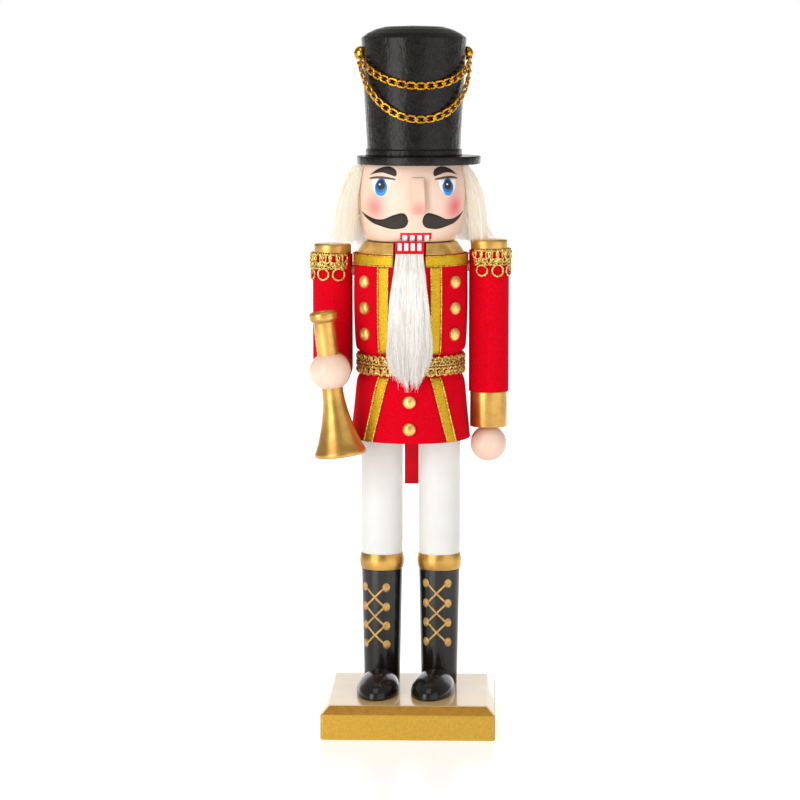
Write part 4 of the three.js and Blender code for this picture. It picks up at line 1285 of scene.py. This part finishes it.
def make_left_arm():
    body = "left_arm"
    make_arm_top("left", body)
    make_epaulette("left", body, -90)
    low, high = box_mm("left_sleeve")
    centre = middle_of("left_sleeve")[:2]
    radius = (high[0] - low[0]) / 2
    angles = np.linspace(0, 360, 72, endpoint=False)
    rows = [level_ring(radius, angles, z, centre) for z in np.linspace(low[2], high[2], 36)]
    points, faces = sheet_mesh(rows, SLEEVE_THICK, True)
    sleeve = add_mesh("left_sleeve_felt", points, faces, FELT, sharp_angle=60)
    finish_piece(sleeve, body, "red_felt", "left_sleeve")

    turned_disc("left_gold_cuff", "left_cuff", centre, 0.45, GOLD_PAINT, body, "gold_paint")

    low, high = box_mm("left_hand")
    radius = (high[0] - low[0]) / 2
    middle = high[2] - 9.2
    turns = np.linspace(-math.pi / 2, 1.16, 30)
    ball = [(radius * math.cos(a), middle + radius * math.sin(a)) for a in turns]
    ball[0] = (0, middle - radius)
    ball = [q for q in ball if q[1] < high[2]] + [(0, high[2])]
    finish_piece(turned("left_fist", ball, centre, SKIN), body, "skin_paint", "left_hand")


def make_right_arm():
    body = "right_arm"
    make_arm_top("right", body)
    make_epaulette("right", body, 90)
    low, high = box_mm("right_sleeve")
    centre = middle_of("right_shoulder_cap")[:2]
    radius = (high[0] - low[0]) / 2
    elbow_z = low[2] + radius
    cuff_y = box_mm("right_cuff")[1][1]
    turn = np.radians(np.linspace(0, 360, 72, endpoint=False))
    # Each column runs down, turns forward round its own corner (a ball behind, a tight fold in front)
    # and ends at the cuff; ahead is how far in front of the arm's middle it lies.
    ahead = radius * np.cos(turn)
    corner = np.maximum(ahead + 1.2, 0)
    bend = corner - ahead
    rows = []
    for t in np.linspace(0, 1, 26):
        rows.append((centre[1] - ahead, high[2] + (elbow_z + corner - high[2]) * t))
    for a in np.radians(np.linspace(0, 90, 13))[1:]:
        rows.append((centre[1] - corner + bend * math.cos(a), elbow_z + corner - bend * math.sin(a)))
    for t in np.linspace(0, 1, 8)[1:]:
        rows.append((centre[1] - corner + (cuff_y - centre[1] + corner) * t, elbow_z + ahead))
    x = centre[0] + radius * np.sin(turn)
    points, faces = sheet_mesh([np.stack([x, y, z], -1) for y, z in rows[::-1]], SLEEVE_THICK, True)
    sleeve = add_mesh("right_sleeve_felt", points, faces, FELT, sharp_angle=60)
    finish_piece(sleeve, body, "red_felt", "right_sleeve")

    low, high = box_mm("right_cuff")
    radius = (high[0] - low[0]) / 2
    middle = middle_of("right_cuff")
    forward = Matrix.Translation((middle[0], 0, middle[2])) @ Matrix.Rotation(math.radians(90), 4, "X")
    line = rounded([(0, -high[1]), (radius, -high[1]), (radius, -low[1]), (0, -low[1])], 0.45)
    lathe_on("right_gold_cuff", line, forward, GOLD_PAINT, body, "gold_paint", "right_cuff")

    low, high = box_mm("right_hand")
    hand_r = (high[0] - low[0]) / 2
    hand_y = low[1] + hand_r
    ball = [(hand_r * math.cos(a), hand_r * math.sin(a)) for a in np.linspace(-math.pi / 2, math.pi / 2, 40)]
    ball[0], ball[-1] = (0, -hand_r), (0, hand_r)
    squash = Matrix.Diagonal((1, 1, 10.4 / 11.2, 1))
    place = Matrix.Translation((middle[0], hand_y, middle[2])) @ squash
    lathe_on("right_fist", ball, place, SKIN, body, "skin_paint", "right_hand")
    make_horn(body, (middle[0], hand_y, middle[2]))


def make_horn(body, hand):
    """A turned horn held upright through the fist, leaning a little outwards at the top."""
    place = Matrix.Translation(hand) @ Matrix.Rotation(math.radians(-7), 4, "Y")
    pipe_r, flange_r = 5.75, 7.5
    pipe = [(0, -9), (pipe_r, -9), (pipe_r, 26.6), (pipe_r + 0.9, 27.3), (flange_r, 28.4), (flange_r, 31.6),
            (flange_r - 1.0, 32.6), (flange_r - 2.4, 32.5), (flange_r - 3.4, 31.4), (0, 31.2)]
    lathe_on("horn_mouthpiece", rounded(pipe, 0.6), place, GOLD_PAINT, body, "gold_paint", "horn_pipe")
    flare = smooth_line([(5.65, -9), (5.8, -13), (6.3, -18), (7.4, -24), (9.2, -31), (11.6, -38.4),
                         (13.4, -42.6)], 6)
    bell = [(0, -9)] + [tuple(q) for q in flare] + [(14.0, -43.6), (14.2, -44.6), (14.0, -45.6),
                                                    (13.2, -46.0), (11.6, -45.6), (0, -44.8)]
    lathe_on("horn_flare", bell, place, GOLD_PAINT, body, "gold_paint", "horn_bell")


make_left_arm()
make_right_arm()


# ---------- fur ----------

def strands(name, paths, root_radius, tints, seed, shares, taper=0.3):
    """Fine three-sided hairs along paths, an array of (hair, point, xyz); each takes one of the tints."""
    rng = np.random.default_rng(seed)
    count, steps, _ = paths.shape
    tangent = np.gradient(paths, axis=1)
    tangent /= np.linalg.norm(tangent, axis=2)[:, :, None] + 1e-9
    side = np.cross(tangent, rng.normal(size=(count, 1, 3)))
    side /= np.linalg.norm(side, axis=2)[:, :, None] + 1e-9
    other = np.cross(tangent, side)
    width = np.linspace(1, taper, steps)[None, :] * (root_radius * rng.uniform(0.7, 1.25, (count, 1)))
    ring = []
    for k in range(3):
        a = 2 * math.pi * k / 3
        ring.append(paths + width[:, :, None] * (math.cos(a) * side + math.sin(a) * other))
    points = np.stack(ring, 2).reshape(-1, 3)
    base = (np.arange(count) * steps * 3)[:, None, None]
    step = (np.arange(steps - 1) * 3)[None, :, None]
    k = np.arange(3)[None, None, :]
    m = (k + 1) % 3
    quads = np.stack([base + step + k, base + step + m, base + step + 3 + m, base + step + 3 + k],
                     -1).reshape(-1, 4)
    hair = add_mesh(name, points, quads, tints)
    choice = rng.choice(len(tints), count, p=shares)
    hair.data.polygons.foreach_set("material_index", np.repeat(choice, (steps - 1) * 3).astype(np.int32))
    return hair


def make_wig():
    """Long pile combed down from under the brim, spreading over the shoulders."""
    rng = np.random.default_rng(7)
    count, steps = 10800, 9
    front = 71
    side_angle = rng.uniform(front, 360 - front, count)
    edge = np.minimum(side_angle, 360 - side_angle) - front
    top = HEAD_HIGH[2] - 0.6
    root_z = top - 34 * rng.beta(0.75, 1.8, count)
    outer = rng.uniform(0, 1, count) ** 0.75
    sidewards = np.abs(np.sin(np.radians(side_angle)))
    root_r = head_radius(root_z) + 0.3 + 3.4 * outer
    flare = (rng.uniform(0, 1, count) < 0.16) * rng.uniform(2, 8, count) * sidewards ** 3
    end_r = 31.8 + outer * (4.0 + 6.0 * sidewards ** 2) + flare
    end_z = 261 - 7 * (1 - sidewards) + rng.normal(0, 2.4, count) + 4 * outer
    over_arm = np.maximum(end_z, 262.6 + 5 * rng.uniform(0, 1, count) ** 2)
    end_z = np.where((sidewards > 0.72) & (end_r > 31), over_arm, end_z)
    lock = np.sin(np.radians(side_angle) * 29) + 0.6 * np.sin(np.radians(side_angle) * 53 + 1.0)
    t = np.linspace(0, 1, steps)[None, :]
    bow = 1 - (1 - t) ** rng.uniform(2.0, 3.4, (count, 1))
    radius = root_r[:, None] + (end_r - flare - root_r)[:, None] * bow + flare[:, None] * t ** 5
    radius = radius + (0.45 * lock)[:, None] * t * (1 - 0.4 * t)
    phase = rng.uniform(0, 1, (count, 1))
    wiggle = 1.1 * np.sin(2 * math.pi * (t * rng.uniform(0.5, 1.6, (count, 1)) + phase)) * t
    angle = side_angle[:, None] + 0.8 * lock[:, None] * t + wiggle + rng.normal(0, 3.2, count)[:, None] * t
    angle = angle + np.where(side_angle < 180, 1, -1)[:, None] * 3.0 * t * (edge < 8)[:, None]
    z = root_z[:, None] + (end_z - root_z)[:, None] * t ** 1.05
    x, y = around(radius, angle + HEAD_TURN)
    paths = np.stack([x, y, z], -1)
    # the hairs beside the face take the warm tint more often: painted shade where the pile meets the face
    order = np.argsort(edge + rng.uniform(0, 7, count) + 14 * outer)
    for number, some in enumerate(np.array_split(order, 4), 1):
        hair = strands(f"wig_hair_{number}", paths[some], 0.11, FUR_TINTS, 20 + number, WIG_TINTS[number - 1])
        finish_piece(hair, "figure", "fur")
    make_wig_base()


# shares of the white, cream and warm tints in each of the four groups, nearest the face first; the warm tint
# is painted shade
WIG_TINTS = [(0.25, 0.33, 0.42), (0.64, 0.33, 0.03), (0.66, 0.34, 0.0), (0.66, 0.34, 0.0)]


def make_wig_base():
    """The backing pile that the long hairs lie on: narrow locks side by side."""
    angles = np.linspace(78, 282, 410)
    turn = np.radians(angles)
    locks = 0.35 * np.sin(turn * 71) + 0.25 * np.sin(turn * 113 + 0.7) + 0.2 * np.sin(turn * 37 + 2.1)
    sidewards = np.abs(np.sin(turn))
    rows = []
    for t in np.linspace(0, 1, 24):
        z = HEAD_HIGH[2] - 0.8 - 36 * t
        radius = head_radius(max(z, HEAD_LOW[2])) + 1.2 + (2.8 + 4.6 * sidewards) * math.sin(math.pi / 2 * t)
        radius = radius + locks * (0.4 + 0.9 * t)
        along = angles + HEAD_TURN + 0.8 * math.sin(5 * t) * np.sin(turn * 9)
        rows.append(level_ring(radius, along, z + 1.2 * t * np.sin(turn * 59)))
    points, faces = sheet_mesh(rows[::-1], 1.0)
    base = add_mesh("wig_backing", points, faces, FUR_TINTS[0])
    finish_piece(base, "figure", "fur", "hair_wig")


def make_beard():
    rng = np.random.default_rng(11)
    low, high = box_mm("beard")
    count, steps = 7600, 12
    top_z = high[2] + 1.2
    u = rng.uniform(-1, 1, count)
    depth = rng.uniform(0, 1, count) ** 0.8
    root_z = top_z - 24 * rng.beta(0.7, 1.7, count)
    drop = rng.uniform(0, 1, count)
    edge_short = 9 * np.abs(u) ** 3
    tuft = 1.5 * np.sin(u * 9 + 0.4) + 1.2 * np.sin(u * 17 + 1.9)
    end_z = low[2] + 6 + 20 * drop ** 1.6 + edge_short + tuft + rng.normal(0, 2.4, count)
    end_z = np.clip(end_z, low[2], None)
    t = np.linspace(0, 1, steps)[None, :]
    z = root_z[:, None] + (end_z - root_z)[:, None] * t
    half = np.interp(z, [low[2], low[2] + 8, low[2] + 22, low[2] + 45, top_z], [9.0, 11.0, 12.8, 10.6, 7.2])
    gather = 1 - 0.3 * (t ** 3) * rng.uniform(0, 1, (count, 1))
    lock = np.sin(u * 11 + 0.8) + 0.7 * np.sin(u * 19 + 2.0)
    wave = (0.5 * lock[:, None] * np.sin(z / 7.5 + 1.5 * u[:, None])
            + 0.5 * np.sin(2 * math.pi * (z / 22 + rng.uniform(0, 1, (count, 1))))) * t
    x = u[:, None] * half * gather + wave
    back = np.interp(z, [low[2], 242, 249, top_z], [-32.0, -31.9, -28.4, -27.9])
    front = np.interp(z, [low[2], low[2] + 20, 240, 250, top_z], [-34.3, -37.4, -38.2, -36.3, -30.3])
    round_off = 1 - 0.55 * np.abs(u[:, None]) ** 2.2
    ridge = 0.35 * lock[:, None] * np.cos(z / 9) * depth[:, None]
    y = AXIS[1] + back + (front - back) * depth[:, None] * round_off - ridge
    paths = np.stack([x, y, z], -1)
    halves = np.array_split(np.arange(count), 2)
    hang_y = (AXIS[1] - 32) * MM
    start, end = (0, hang_y, 0.254), (0, hang_y, 0.226)
    for number, some in enumerate(halves, 1):
        hair = strands(f"beard_hair_{number}", paths[some], 0.125, BEARD_TINTS, 40 + number, BEARD_SHARES)
        if number == 1:
            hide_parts("beard")
        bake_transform(hair)
        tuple(start)
        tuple(end)


BEARD_SHARES = (0.62, 0.26, 0.12)

make_wig()
make_beard()


# ---------- hidden wooden pieces keep their CAD shape ----------

HIDDEN_WOOD = ["torso_block", "neck_dowel", "hat_dowel", "left_arm_core", "right_upper_arm", "right_forearm",
               "left_leg_dowel", "right_leg_dowel", "left_shoulder_peg", "right_shoulder_peg"]
for node_name in HIDDEN_WOOD:
    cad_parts[node_name].material_slots[0].material = WOOD
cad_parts["jaw_pin"].material_slots[0].material = STEEL
